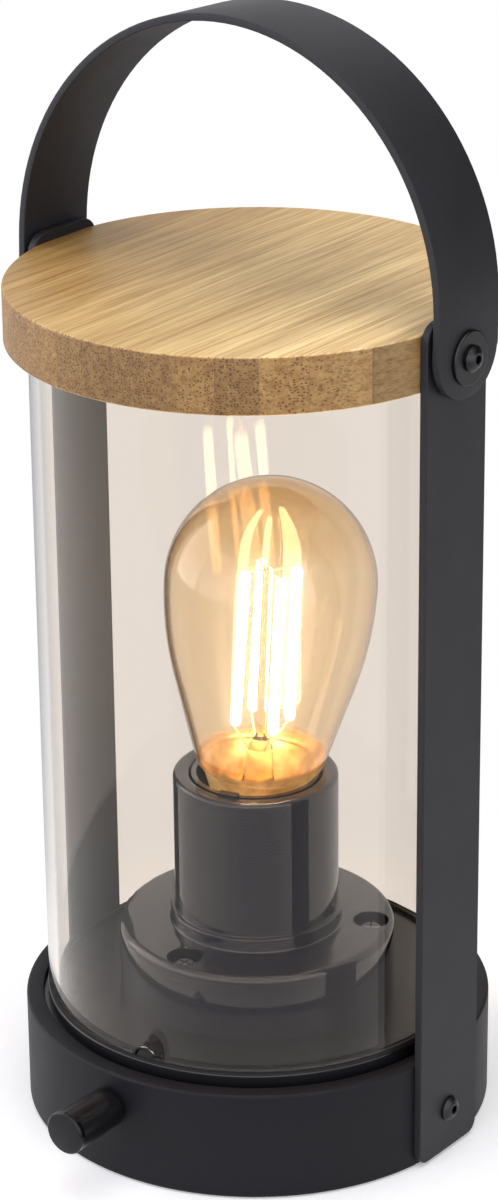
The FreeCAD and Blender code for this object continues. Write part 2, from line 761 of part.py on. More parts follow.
# It stands leaning back a little, as its friction holds it.
handle_strap.setExpression("Placement.Rotation.Roll", formula("-handle_lean"))
handle_strap.setExpression("Placement.Base.y", formula("-pivot_height * sin(handle_lean)"))
handle_strap.setExpression("Placement.Base.z", formula("pivot_height * (1 - cos(handle_lean))"))

pivot_spacers = radial_rings("pivot_spacers", "clear_hole", "spacer_radius",
                             "upright_face", "upright_face + spacer_thickness", "pivot_height")
pivot_washers = radial_rings("pivot_washers", "clear_hole", "washer_radius",
                             "washer_inner", "washer_outer", "pivot_height")
round_edges(pivot_washers,
            lambda e, p: near(abs(p.x), "washer_outer")
            and e.Length > 6 * number("clear_hole") + 8, "0.4")
pivot_bolts = button_screws("pivot_bolts", "washer_outer", "pivot_height", "pivot_bolt_length")

# ---------------------------------------------------------------- lampholder
# One moulding: a round foot with screw pockets, a collar and the tall open sleeve.
lampholder = new_body("lampholder")
profile = new_sketch(lampholder, "XZ_Plane", "profile")
draw_polygon(profile, [
    ("deck_hole + 1", "holder_floor"),
    ("sleeve_bore + flange_wall", "holder_floor"),
    ("sleeve_bore + flange_wall", "core_seat"),
    ("flange_radius - flange_wall", "core_seat"),
    ("flange_radius - flange_wall", "deck_top"),
    ("flange_radius", "deck_top"),
    ("flange_radius", "flange_top"),
    ("collar_radius", "flange_top"),
    ("collar_radius", "flange_top + collar_height"),
    ("sleeve_radius", "flange_top + collar_height"),
    ("sleeve_radius", "sleeve_top"),
    ("sleeve_mouth", "sleeve_top"),
    ("sleeve_mouth", "sleeve_top - sleeve_lip_height + sleeve_lip"),
    ("sleeve_bore", "sleeve_top - sleeve_lip_height"),
    ("sleeve_bore", "core_seat"),
    ("deck_hole + 1", "core_seat"),
])
turn(lampholder, profile)
round_edges(lampholder, circle_edge("flange_radius", "flange_top"), "flange_round")
round_edges(lampholder, circle_edge("collar_radius", "flange_top + collar_height"), "0.5")
round_edges(lampholder, circle_edge("sleeve_radius", "sleeve_top"), "sleeve_lip_round")
round_edges(lampholder, circle_edge("sleeve_mouth", "sleeve_top"), "sleeve_lip_round")
pillar = new_sketch(lampholder, "XY_Plane", "pillar", "deck_top")
draw_circle(pillar, ("0", "-pocket_circle"), "pocket_radius + 1.2")
pillar_pad = pad(lampholder, pillar, "core_seat + 0.5 - deck_top")
ring_of(lampholder, [pillar_pad], 3)
pocket_hole = new_sketch(lampholder, "XY_Plane", "pocket", "flange_top")
draw_circle(pocket_hole, ("0", "-pocket_circle"), "pocket_radius")
pocket_cut = pocket(lampholder, pocket_hole, "pocket_depth")
ring_of(lampholder, [pocket_cut], 3)
screw_way = new_sketch(lampholder, "XY_Plane", "screw_way", "flange_top")
draw_circle(screw_way, ("0", "-pocket_circle"), "holder_screw_radius + bolt_hole_gap")
screw_way_cut = pocket(lampholder, screw_way, "flange_top - deck_top")
ring_of(lampholder, [screw_way_cut], 3)

# Pan-head screws with a cross recess, down through the pockets into the deck.
holder_screws = new_body("holder_screws")
profile = new_sketch(holder_screws, "XZ_Plane", "profile")
draw_axis(profile, ("pocket_circle", "0"), ("pocket_circle", "pocket_floor"))
draw_polygon(profile, [
    ("pocket_circle", "pocket_floor - holder_screw_length"),
    ("pocket_circle + 0.8", "pocket_floor - holder_screw_length"),
    ("pocket_circle + holder_screw_radius", "pocket_floor - holder_screw_length + 2"),
    ("pocket_circle + holder_screw_radius", "pocket_floor"),
    ("pocket_circle + holder_screw_head", "pocket_floor"),
    ("pocket_circle + holder_screw_head", "pocket_floor + 0.5 * holder_screw_head_height"),
    ("pocket_circle + 0.7 * holder_screw_head", "pocket_floor + 0.9 * holder_screw_head_height"),
    ("pocket_circle + 0.4 * holder_screw_head", "pocket_floor + holder_screw_head_height"),
    ("pocket_circle", "pocket_floor + holder_screw_head_height"),
])
holder_screw = turn(holder_screws, profile, "Axis0")
cross = new_sketch(holder_screws, "XY_Plane", "cross", "pocket_floor + holder_screw_head_height")
arm = "0.55 * holder_screw_head"
draw_polygon(cross, [
    ("pocket_circle - " + arm, "-0.4"),
    ("pocket_circle - 0.4", "-0.4"),
    ("pocket_circle - 0.4", "-(" + arm + ")"),
    ("pocket_circle + 0.4", "-(" + arm + ")"),
    ("pocket_circle + 0.4", "-0.4"),
    ("pocket_circle + " + arm, "-0.4"),
    ("pocket_circle + " + arm, "0.4"),
    ("pocket_circle + 0.4", "0.4"),
    ("pocket_circle + 0.4", arm),
    ("pocket_circle - 0.4", arm),
    ("pocket_circle - 0.4", "0.4"),
    ("pocket_circle - " + arm, "0.4"),
])
cross_cut = pocket(holder_screws, cross, "1.4")
ring_of(holder_screws, [holder_screw, cross_cut], 3)
spin(holder_screws, "-90")

# Insulating core: a floor, the wall round the threaded shell, a skirt up to the mouth
# and a latch that hooks over the sleeve's lip.
holder_core = new_body("holder_core")
profile = new_sketch(holder_core, "XZ_Plane", "profile")
draw_polygon(profile, [
    ("2.5", "core_seat"),
    ("core_outer", "core_seat"),
    ("core_outer", "core_top"),
    ("core_outer - core_skirt_wall", "core_top"),
    ("core_outer - core_skirt_wall", "core_step"),
    ("core_bore", "core_step"),
    ("core_bore", "core_seat + core_floor"),
    ("2.5", "core_seat + core_floor"),
])
turn(holder_core, profile)
latch = new_sketch(holder_core, "YZ_Plane", "latch")
latch_inner = "core_outer - latch_thickness"
draw_polygon(latch, [
    ("-(" + latch_inner + ")", "core_top - 2"),
    ("-(" + latch_inner + ")", "sleeve_top + latch_thickness"),
    ("-(sleeve_mouth + latch_hook)", "sleeve_top + latch_thickness"),
    ("-(sleeve_mouth + latch_hook)", "sleeve_top + 0.1"),
    ("-(core_outer - 0.3)", "sleeve_top + 0.1"),
    ("-(core_outer - 0.3)", "core_top - 2"),
])
pad(holder_core, latch, "latch_width", side="Symmetric")
spin(holder_core, "latch_angle")

threaded_shell = new_body("threaded_shell")
profile = new_sketch(threaded_shell, "XZ_Plane", "profile")
draw_polygon(profile, [
    ("cap_contact_radius + 4", "core_seat + core_floor"),
    ("shell_radius", "core_seat + core_floor"),
    ("shell_radius", "core_step - 0.5"),
    ("shell_radius - shell_wall", "core_step - 0.5"),
    ("shell_radius - shell_wall", "core_seat + core_floor + shell_wall"),
    ("cap_contact_radius + 4", "core_seat + core_floor + shell_wall"),
])
turn(threaded_shell, profile)

# Centre contact: a folded brass strip that the bulb's tip presses.
centre_contact = new_body("centre_contact")
fold = new_sketch(centre_contact, "XZ_Plane", "fold")
contact_low = "core_seat + core_floor"
contact_high = "bulb_tip - 0.05"
draw_polygon(fold, [
    ("-6", contact_low),
    ("6", contact_low),
    ("6", contact_low + " + 0.4"),
    ("-5", contact_low + " + 0.4"),
    ("-5", contact_low + " + 0.9"),
    ("3", contact_high + " - 0.4"),
    ("4", contact_high + " - 0.4"),
    ("4", contact_high),
    ("2.8", contact_high),
    ("-6", contact_low + " + 1.3"),
])
pad(centre_contact, fold, "4", side="Symmetric")

# ---------------------------------------------------------------- bulb
def glass_outline(grow, low):
    """The half outline of the glass: a dome, a long swept side, a straight taper and
    a rolled shoulder, each running on smoothly into the next."""
    radius = number("bulb_radius") + grow
    crown = number("bulb_crown")
    sweep = number("bulb_side_sweep")
    neck = Vector(number("bulb_neck_radius") + grow, 0, number("bulb_neck_height"))
    # the side arc is centred level with the crown, and the taper is its tangent to the neck
    hub = Vector(radius - sweep, 0, crown)
    gap = neck - hub
    reach = gap.Length
    slope = math.atan2(gap.z, gap.x) + math.acos(sweep / reach)
    touch = hub + Vector(math.cos(slope), 0, math.sin(slope)) * sweep
    middle = hub + Vector(math.cos(slope / 2), 0, math.sin(slope / 2)) * sweep
    apex = Vector(0, 0, crown + radius)
    widest = Vector(radius, 0, crown)
    dome_mid = Vector(radius * math.sin(math.pi / 4), 0, crown + radius * math.cos(math.pi / 4))
    # the shoulder turns in from the taper to the cap's rim
    ahead = neck - touch
    ahead.normalize()
    inward = Vector(ahead.z, 0, -ahead.x)
    roll = number("bulb_shoulder") + grow
    pivot = neck + inward * roll
    if pivot.x > neck.x:
        pivot = neck - inward * roll
    start = math.atan2(neck.z - pivot.z, neck.x - pivot.x)
    stop = math.radians(-70)
    shoulder_mid = pivot + Vector(math.cos((start + stop) / 2), 0, math.sin((start + stop) / 2)) * roll
    shoulder_end = pivot + Vector(math.cos(stop), 0, math.sin(stop)) * roll
    throat = Vector(number("cap_radius - cap_wall - neck_gap") + grow, 0, number("cap_top + 1"))
    foot = Vector(throat.x, 0, low)
    edges = [
        Part.Arc(apex, dome_mid, widest).toShape(),
        Part.Arc(widest, middle, touch).toShape(),
        Part.LineSegment(touch, neck).toShape(),
        Part.Arc(neck, shoulder_mid, shoulder_end).toShape(),
        Part.LineSegment(shoulder_end, throat).toShape(),
        Part.LineSegment(throat, foot).toShape(),
    ]
    return edges, apex, foot


outside, outside_apex, outside_foot = glass_outline(0.0, number("cap_top - 6"))
inside, inside_apex, inside_foot = glass_outline(-number("bulb_glass_wall"), number("cap_top - 6"))
wall_top = Part.LineSegment(inside_apex, outside_apex).toShape()
wall_foot = Part.LineSegment(outside_foot, inside_foot).toShape()
section = Part.Wire(Part.__sortEdges__(outside + inside + [wall_top, wall_foot]))
bulb_glass = doc.addObject("Part::Feature", "bulb_glass")
bulb_glass.Label = "bulb_glass"
bulb_glass.Shape = Part.Face(section).revolve(Vector(0, 0, 0), Vector(0, 0, 1), 360)

# Screw cap, with its rim round the glass neck.
bulb_cap = new_body("bulb_cap")
profile = new_sketch(bulb_cap, "XZ_Plane", "profile")
draw_polygon(profile, [
    ("cap_radius - 2.4", "cap_bottom"),
    ("cap_radius", "cap_bottom + 2.6"),
    ("cap_radius", "cap_top - 2"),
    ("cap_rim_radius", "cap_top - 1.4"),
    ("cap_rim_radius", "cap_top"),
    ("cap_radius - cap_wall", "cap_top"),
    ("cap_radius - cap_wall", "cap_bottom + 2.6"),
    ("cap_radius - 2.4 - cap_wall", "cap_bottom"),
])
turn(bulb_cap, profile)

cap_insulator = new_body("cap_insulator")
profile = new_sketch(cap_insulator, "XZ_Plane", "profile")
draw_polygon(profile, [
    ("0", "bulb_tip + 1.2"),
    ("cap_contact_radius", "bulb_tip + 1.2"),
    ("cap_contact_radius + 0.7", "bulb_tip + 1.6"),
    ("cap_radius - 2.5", "cap_bottom"),
    ("cap_radius - 2.5 - cap_wall", "cap_bottom"),
    ("cap_radius - 3 - cap_wall", "cap_bottom + 1.5"),
    ("0", "cap_bottom + 1.5"),
])
turn(cap_insulator, profile)

bulb_contact = new_body("bulb_contact")
profile = new_sketch(bulb_contact, "XZ_Plane", "profile")
draw_polygon(profile, [
    ("0", "bulb_tip"),
    ("0.6 * cap_contact_radius", "bulb_tip"),
    ("cap_contact_radius", "bulb_tip + 0.7"),
    ("cap_contact_radius", "bulb_tip + 1.2"),
    ("0", "bulb_tip + 1.2"),
])
turn(bulb_contact, profile)

# Glass stem: a flare sealed into the neck, and the pillar that carries the filaments.
bulb_stem = new_body("bulb_stem")
profile = new_sketch(bulb_stem, "XZ_Plane", "profile")
draw_polygon(profile, [
    ("0", "cap_top - 5"),
    ("cap_radius - cap_wall - neck_gap - 1.2", "cap_top - 5"),
    ("cap_radius - cap_wall - neck_gap - 1.2", "cap_top - 3.6"),
    ("6", "cap_top + 6"),
    ("4.6", "cap_top + 14"),
    ("4", "filament_bottom - 8"),
    ("1.6", "filament_bottom - 4"),
    ("1.6", "filament_bottom + filament_length"),
    ("0", "filament_bottom + filament_length + 1"),
])
turn(bulb_stem, profile)

# Filaments and their wires: straight rods that lean in from a wide foot circle.
foot_ring = number("filament_foot_circle")
head_ring = number("filament_head_circle")
foot_level = number("filament_bottom")
head_level = foot_level + number("filament_length")
wire = number("wire_radius")
rods = []
wires = []
for quarter in range(4):
    angle = math.radians(number("filament_turn") + 90 * quarter)
    way = Vector(math.cos(angle), math.sin(angle), 0)
    foot_point = way * foot_ring + Vector(0, 0, foot_level)
    head_point = way * head_ring + Vector(0, 0, head_level)
    run = head_point - foot_point
    rods.append(Part.makeCylinder(number("filament_radius"), run.Length, foot_point, run))
    low_start = way * (foot_ring / 3) + Vector(0, 0, foot_level - foot_ring)
    low_run = foot_point - Vector(0, 0, 0.3) - low_start
    wires.append(Part.makeCylinder(wire, low_run.Length, low_start, low_run))
    high_start = way * 1.2 + Vector(0, 0, head_level - 0.6)
    high_run = head_point + Vector(0, 0, 0.3) - high_start
    wires.append(Part.makeCylinder(wire, high_run.Length, high_start, high_run))

filaments = doc.addObject("Part::Feature", "filaments")
filaments.Label = "filaments"
filaments.Shape = Part.makeCompound(rods)

# ---------------------------------------------------------------- dimmer and knob
# The case bears on the drum's bore, its bush passes the wall and the nut pulls it up.
dimmer = new_body("dimmer")
case = new_sketch(dimmer, "XZ_Plane", "case", "dial_face")
draw_box(case,
         ("-dial_case / 2", "knob_height - dial_case / 2"),
         ("dial_case / 2", "knob_height + dial_case / 2"))
pad(dimmer, case, "dial_case_depth", back=True)
bush = new_sketch(dimmer, "XZ_Plane", "bush", "dial_face")
draw_circle(bush, ("0", "knob_height"), "dial_bush_radius")
pad(dimmer, bush, "nut_back + dial_nut_thickness + 0.4 - (dial_face)")
shaft_way = new_sketch(dimmer, "XZ_Plane", "shaft_way", "knob_back + 20")
draw_circle(shaft_way, ("0", "knob_height"), "dial_shaft_radius + bolt_fit")
pocket(dimmer, shaft_way, "knob_back + 20 - (dial_face) + 2.05")

dimmer_nut = new_body("dimmer_nut")
nut = new_sketch(dimmer_nut, "XZ_Plane", "nut", "nut_back")
half = "dial_nut / 2"
side = "dial_nut / sqrt(3)"
draw_polygon(nut, [
    ("-(" + half + ")", "knob_height - " + side + " / 2"),
    ("0", "knob_height - " + side),
    (half, "knob_height - " + side + " / 2"),
    (half, "knob_height + " + side + " / 2"),
    ("0", "knob_height + " + side),
    ("-(" + half + ")", "knob_height + " + side + " / 2"),
])
draw_circle(nut, ("0", "knob_height"), "dial_bush_radius + 0.02")
pad(dimmer_nut, nut, "dial_nut_thickness")

dial_shaft = new_body("dial_shaft")
rod = new_sketch(dial_shaft, "XZ_Plane", "rod", "dial_face - 2")
draw_circle(rod, ("0", "knob_height"), "dial_shaft_radius")
pad(dial_shaft, rod, "shaft_tip - (dial_face) + 2")
flat = new_sketch(dial_shaft, "XZ_Plane", "flat", "shaft_tip")
draw_box(flat,
         ("-(dial_shaft_radius + 1)", "knob_height + dial_shaft_radius - 0.5"),
         ("dial_shaft_radius + 1", "knob_height + dial_shaft_radius + 1"))
pocket(dial_shaft, flat, "dial_shaft_length - 3")

# Knob: a slight taper, bevelled face, a skirt recess over the nut and a bore with a flat.
knob = new_body("knob")
profile = new_sketch(knob, "YZ_Plane", "profile")
draw_axis(profile, ("-knob_back", "knob_height"), ("-knob_front", "knob_height"))
recess_radius = "dial_nut / sqrt(3) + 0.5"
recess_end = "-(nut_back + dial_nut_thickness + 0.8)"
draw_polygon(profile, [
    ("-knob_front", "knob_height"),
    ("-knob_front", "knob_height + knob_radius - knob_chamfer"),
    ("-(knob_front - knob_chamfer)", "knob_height + knob_radius"),
    ("-(knob_back + 0.5)", "knob_height + knob_back_radius"),
    ("-knob_back", "knob_height + knob_back_radius - 0.5"),
    ("-knob_back", "knob_height + " + recess_radius),
    (recess_end, "knob_height + " + recess_radius),
    (recess_end, "knob_height"),
])
turn(knob, profile, "Axis0")
bore = new_sketch(knob, "XZ_Plane", "bore", "knob_back - 1")
draw_circle(bore, ("0", "knob_height"), "dial_shaft_radius + bolt_fit")
pocket(knob, bore, "shaft_tip + 0.5 - knob_back + 1", back=True)
bore_flat = new_sketch(knob, "XZ_Plane", "bore_flat", "shaft_tip + 0.5")
draw_box(bore_flat,
         ("-(dial_shaft_radius + 0.3)", "knob_height + dial_shaft_radius - 0.4"),
         ("dial_shaft_radius + 0.3", "knob_height + dial_shaft_radius + 0.4"))
pad(knob, bore_flat, "dial_shaft_length - 4", back=True)
notch = new_sketch(knob, "XZ_Plane", "notch", "knob_front - 0.4")
draw_box(notch, ("-knob_notch / 2", "knob_height + knob_radius - 0.9"),
         ("knob_notch / 2", "knob_height + knob_radius + 1"))
pocket(knob, notch, "1.4")

# Knob and shaft stand turned together, as the notch shows.
for turned in (knob, dial_shaft):
    turned.setExpression("Placement.Rotation.Pitch", formula("knob_turn"))
    turned.setExpression("Placement.Base.x", formula("-knob_height * sin(knob_turn)"))
    turned.setExpression("Placement.Base.z", formula("knob_height * (1 - cos(knob_turn))"))

# ---------------------------------------------------------------- battery and board
battery_tray = new_body("battery_tray")
tray = new_sketch(battery_tray, "XY_Plane", "tray", "cover_top")
draw_box(tray,
         ("-(cell_length / 2 + 3)", "-(cell_pitch + cell_radius + 0.15 + tray_wall)"),
         ("cell_length / 2 + 3", "cell_pitch + cell_radius + 0.15 + tray_wall"))
pad(battery_tray, tray, "cell_height - cover_top")
trough = new_sketch(battery_tray, "YZ_Plane", "trough")
draw_circle(trough, ("-cell_pitch", "cell_height"), "cell_radius + 0.15")
trough_cut = pocket(battery_tray, trough, "cell_length + 1", side="Symmetric")
row_of(battery_tray, [trough_cut], "Y_Axis", 3, "2 * cell_pitch")

battery_cells = new_body("battery_cells")
profile = new_sketch(battery_cells, "XY_Plane", "profile", "cell_height")
draw_axis(profile, ("-cell_length / 2", "-cell_pitch"), ("cell_length / 2", "-cell_pitch"))
draw_polygon(profile, [
    ("-cell_length / 2", "-cell_pitch"),
    ("-cell_length / 2", "-cell_pitch + cell_radius - 0.6"),
    ("-cell_length / 2 + 0.6", "-cell_pitch + cell_radius"),
    ("cell_length / 2 - 1.6", "-cell_pitch + cell_radius"),
    ("cell_length / 2 - 1", "-cell_pitch + cell_radius - 0.6"),
    ("cell_length / 2 - 1", "-cell_pitch + 3"),
    ("cell_length / 2", "-cell_pitch + 3"),
    ("cell_length / 2", "-cell_pitch"),
])
cell = turn(battery_cells, profile, "Axis0")
row_of(battery_cells, [cell], "Y_Axis", 3, "2 * cell_pitch")

control_board = new_body("control_board")
plate = new_sketch(control_board, "XY_Plane", "plate", "board_under")
draw_box(plate,
         ("-board_length / 2", "board_rear - board_width"),
         ("board_length / 2", "board_rear"))
pad(control_board, plate, "board_thickness")
chips = new_sketch(control_board, "XY_Plane", "chips", "board_top")
draw_box(chips, ("-15", "board_rear - board_width + 8"), ("-8", "board_rear - board_width + 15"))
draw_box(chips, ("8", "board_rear - board_width + 9"), ("14", "board_rear - board_width + 13"))
pad(control_board, chips, "1.5")

# Charging port: a rounded shell on the board, behind a slot in the drum.
charge_port = new_body("charge_port")
port_back = "-(board_rear - 2)"
port = new_sketch(charge_port, "XZ_Plane", "port", port_back)
draw_box(port, ("-port_width / 2", "board_top"), ("port_width / 2", "board_top + port_height"))
port_length = "sqrt(base_bore ^ 2 - (port_width / 2) ^ 2) - 0.3 - board_rear + 2"
pad(charge_port, port, port_length, back=True)
round_edges(charge_port,
            lambda e, p: near(abs(p.x), "port_width / 2")
            and (near(p.z, "board_top") or near(p.z, "board_top + port_height"))
            and near(abs(e.Length), port_length),
            "port_height / 2 - 0.2")
mouth = new_sketch(charge_port, "XZ_Plane", "mouth", "-(board_rear - 2 + " + port_length + ")")
draw_box(mouth,
         ("-port_width / 2 + 0.9", "board_top + 0.6"),
         ("port_width / 2 - 0.9", "board_top + port_height - 0.6"))
pocket(charge_port, mouth, "5", back=True)

# Two leads from the board up through the deck to the lampholder: straight runs
# joined by quarter bends, flat against the deck's underside on the way.
lead_start = number("board_top")
lead_level = number("lead_level")
lead_end = number("core_seat")
bend = number("lead_bend")
rear = number("board_rear - board_width + 6")
lead_shapes = []
for side_sign in (-1, 1):
    x = side_sign * number("lead_pitch") / 2
    corners = [
        Vector(x, rear, lead_start),
        Vector(x, rear, lead_level - bend),
        Vector(x, rear - bend, lead_level),
        Vector(x, bend, lead_level),
        Vector(x, 0, lead_level + bend),
        Vector(x, 0, lead_end),
    ]
    slack = bend * (1 - math.sqrt(0.5))
    path = Part.Wire([
        Part.LineSegment(corners[0], corners[1]).toShape(),
        Part.Arc(corners[1], Vector(x, rear - slack, lead_level - slack), corners[2]).toShape(),
        Part.LineSegment(corners[2], corners[3]).toShape(),
        Part.Arc(corners[3], Vector(x, slack, lead_level + slack), corners[4]).toShape(),
        Part.LineSegment(corners[4], corners[5]).toShape(),
    ])
    ring = Part.Wire([Part.makeCircle(number("lead_radius"), corners[0], Vector(0, 0, 1))])
    lead_shapes.append(path.makePipeShell([ring], True, False))
lamp_leads = doc.addObject("Part::Feature", "lamp_leads")
lamp_leads.Label = "lamp_leads"
lamp_leads.Shape = Part.makeCompound(lead_shapes)

filament_wires = doc.addObject("Part::Feature", "filament_wires")
filament_wires.Label = "filament_wires"
doc.recompute()
solid_around = bulb_stem.Shape.fuse(rods)
filament_wires.Shape = Part.makeCompound([rod.cut(solid_around) for rod in wires])

# The glass stands a little crooked in its cap, as such bulbs do: it leans from the
# cap's rim, and its stem, filaments and wires lean with it.
bearing = math.radians(number("bulb_lean_bearing"))
lean_axis = Vector(-math.sin(bearing), math.cos(bearing), 0)
rim = Vector(0, 0, number("cap_top - 5"))
lean = Placement(Vector(0, 0, 0), Rotation(lean_axis, number("bulb_lean")), rim)
for leaning in (bulb_glass, bulb_stem, filaments, filament_wires):
    leaning.Placement = lean

# ---------------------------------------------------------------- check and write
doc.recompute()
NODES = [
    base_housing, bottom_cover, cover_screws, rubber_pad, deck,
    glass_tube, tube_seal, lid_seal, bamboo_lid, lid_inserts,
    upright_right, upright_left, base_bolts,
    handle_strap, pivot_spacers, pivot_washers, pivot_bolts,
    lampholder, holder_screws, holder_core, threaded_shell, centre_contact,
    bulb_glass, bulb_cap, cap_insulator, bulb_contact, bulb_stem, filaments, filament_wires,
    dimmer, dimmer_nut, dial_shaft, knob,
    battery_tray, battery_cells, control_board, charge_port, lamp_leads,
]
faults = []
for item in doc.Objects:
    if "Invalid" in item.State or "Error" in item.State:
        faults.append(item.Name + " " + str(item.State))
for node in NODES:
    if node.Shape.isNull() or not node.Shape.isValid() or not node.Shape.Solids:
        faults.append(node.Label + " has no valid solid")
if faults:
    raise RuntimeError("; ".join(faults))
for node in NODES:
    node.Shape.exportStep("parts/" + node.Label + ".step")
    print("%-16s solids %2d  volume %10.1f" % (node.Label, len(node.Shape.Solids), node.Shape.Volume))
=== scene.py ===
import bpy
import bmesh
import math
from mathutils import Matrix, Vector


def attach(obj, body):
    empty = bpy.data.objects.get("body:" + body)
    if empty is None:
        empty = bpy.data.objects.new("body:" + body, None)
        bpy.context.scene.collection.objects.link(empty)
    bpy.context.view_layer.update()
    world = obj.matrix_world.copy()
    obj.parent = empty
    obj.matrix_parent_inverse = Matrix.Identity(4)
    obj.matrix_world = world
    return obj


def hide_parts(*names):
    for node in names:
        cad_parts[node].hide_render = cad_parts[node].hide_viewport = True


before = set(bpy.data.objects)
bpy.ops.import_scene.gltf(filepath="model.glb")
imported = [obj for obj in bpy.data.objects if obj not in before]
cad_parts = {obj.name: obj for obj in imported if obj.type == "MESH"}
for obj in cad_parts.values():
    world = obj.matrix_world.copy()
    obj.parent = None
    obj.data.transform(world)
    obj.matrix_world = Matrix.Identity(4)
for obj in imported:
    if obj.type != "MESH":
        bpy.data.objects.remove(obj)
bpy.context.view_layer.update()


# ---------------------------------------------------------------- camera
# The photograph's own view, found from the ellipses of lid, tube and base: 38 degrees
# round from the knob's side and 22.5 degrees down, with a slight roll. It stands in metres.
STAND_AZIMUTH = 38.08
STAND_REACH, STAND_HEIGHT = 1.03135, 0.5904
YAW, PITCH, ROLL = (math.radians(a) for a in (STAND_AZIMUTH + 0.08, 22.48, -0.61))
LENS_LENGTH, SENSOR_WIDTH = 111.89, 36

level = Vector((math.cos(YAW), math.sin(YAW), 0))
ahead = Vector((-math.sin(YAW) * math.cos(PITCH), math.cos(YAW) * math.cos(PITCH), -math.sin(PITCH)))
upward = level.cross(ahead)
right = level * math.cos(ROLL) + upward * math.sin(ROLL)
over = upward * math.cos(ROLL) - level * math.sin(ROLL)
turned = Matrix((right, over, -ahead)).transposed().to_4x4()
stand = Vector((
    STAND_REACH * math.sin(math.radians(STAND_AZIMUTH)),
    -STAND_REACH * math.cos(math.radians(STAND_AZIMUTH)),
    STAND_HEIGHT))
camera = bpy.data.objects.new("camera", bpy.data.cameras.new("camera"))
bpy.context.scene.collection.objects.link(camera)
camera.data.lens = LENS_LENGTH
camera.data.sensor_width = SENSOR_WIDTH
camera.matrix_world = Matrix.Translation(stand) @ turned
bpy.context.scene.camera = camera


# ---------------------------------------------------------------- world, floor and lights
# A pale matt table, a white surround, and soft panels: five that wrap round the front and
# one overhead. Two brown felt cards, which gloss alone sees, dull the far right and a
# narrow strip in front, as in the photograph's reflections. All of it is in metres.
WHITE = (1, 1, 1, 1)
MM = 0.001
SURROUND_LEVEL = 0.42
TABLE_HALF = 3
SHADOW_NEAR, SHADOW_FAR = 0.085, 0.2
SIDE_PANELS = ((-105, 13.0), (-65, 7.8), (-25, 6.7), (15, 6.9), (52, 8.2))
PANEL_REACH, PANEL_HEIGHT, PANEL_SIZE, PANEL_AIM = 1.6, 0.55, (1.12, 1.5), (0, 0, 0.17)
TOP_PANEL_WATTS, TOP_PANEL_SIZE = 10.2, (1.2, 1.2)
TOP_PANEL_PLACE, TOP_PANEL_AIM = (0.1, -0.1, 1.5), (0, 0, 0.2)
CARDS = (("right_card", 74, 150), ("front_card", 33, 41))
CARD_REACH, CARD_LOW, CARD_HIGH, CARD_PARTS = 1.3, -0.4, 1.6, 12


def linear(text):
    """An sRGB hex colour as the linear values that a shader takes."""
    parts = [int(text[i:i + 2], 16) / 255 for i in (1, 3, 5)]
    return [c / 12.92 if c <= 0.04045 else ((c + 0.055) / 1.055) ** 2.4 for c in parts] + [1.0]


def cells(size):
    """The scale of a pattern whose grain has this size in millimetres."""
    return 1 / (size * MM)


def add_node(tree, kind, links=None, stops=(), **settings):
    """A shader node with its sockets set or linked, its ramp's stops, and its own settings."""
    node = tree.nodes.new("ShaderNode" + kind)
    for name, value in settings.items():
        setattr(node, name, value)
    for name, value in (links or {}).items():
        if isinstance(value, bpy.types.NodeSocket):
            tree.links.new(value, node.inputs[name])
        else:
            node.inputs[name].default_value = value
    for position, _ in stops[1:-1]:
        node.color_ramp.elements.new(position)
    for index, (position, colour) in enumerate(stops):
        node.color_ramp.elements[index].position = position
        node.color_ramp.elements[index].color = colour
    return node


def new_tree(name):
    """An empty material and its node tree."""
    material = bpy.data.materials.new(name)
    material.use_nodes = True
    material.node_tree.nodes.clear()
    return material, material.node_tree


def close_tree(tree, shader):
    """Joins the shader to the material's output."""
    add_node(tree, "OutputMaterial", {"Surface": shader.outputs[0]})


def shown_white(tree, inner):
    """The shader, or plain white for the camera and for what gloss and glass show of it."""
    path = add_node(tree, "LightPath")
    seen = path.outputs["Is Camera Ray"]
    for kind in ("Is Transmission Ray", "Is Glossy Ray"):
        seen = add_node(tree, "Math", {0: seen, 1: path.outputs[kind]}, operation="MAXIMUM").outputs[0]
    light = "Background" if inner.bl_idname == "ShaderNodeBackground" else "Emission"
    white = add_node(tree, light, {"Color": WHITE, "Strength": 1.0})
    return add_node(tree, "MixShader", {0: seen, 1: inner.outputs[0], 2: white.outputs[0]})


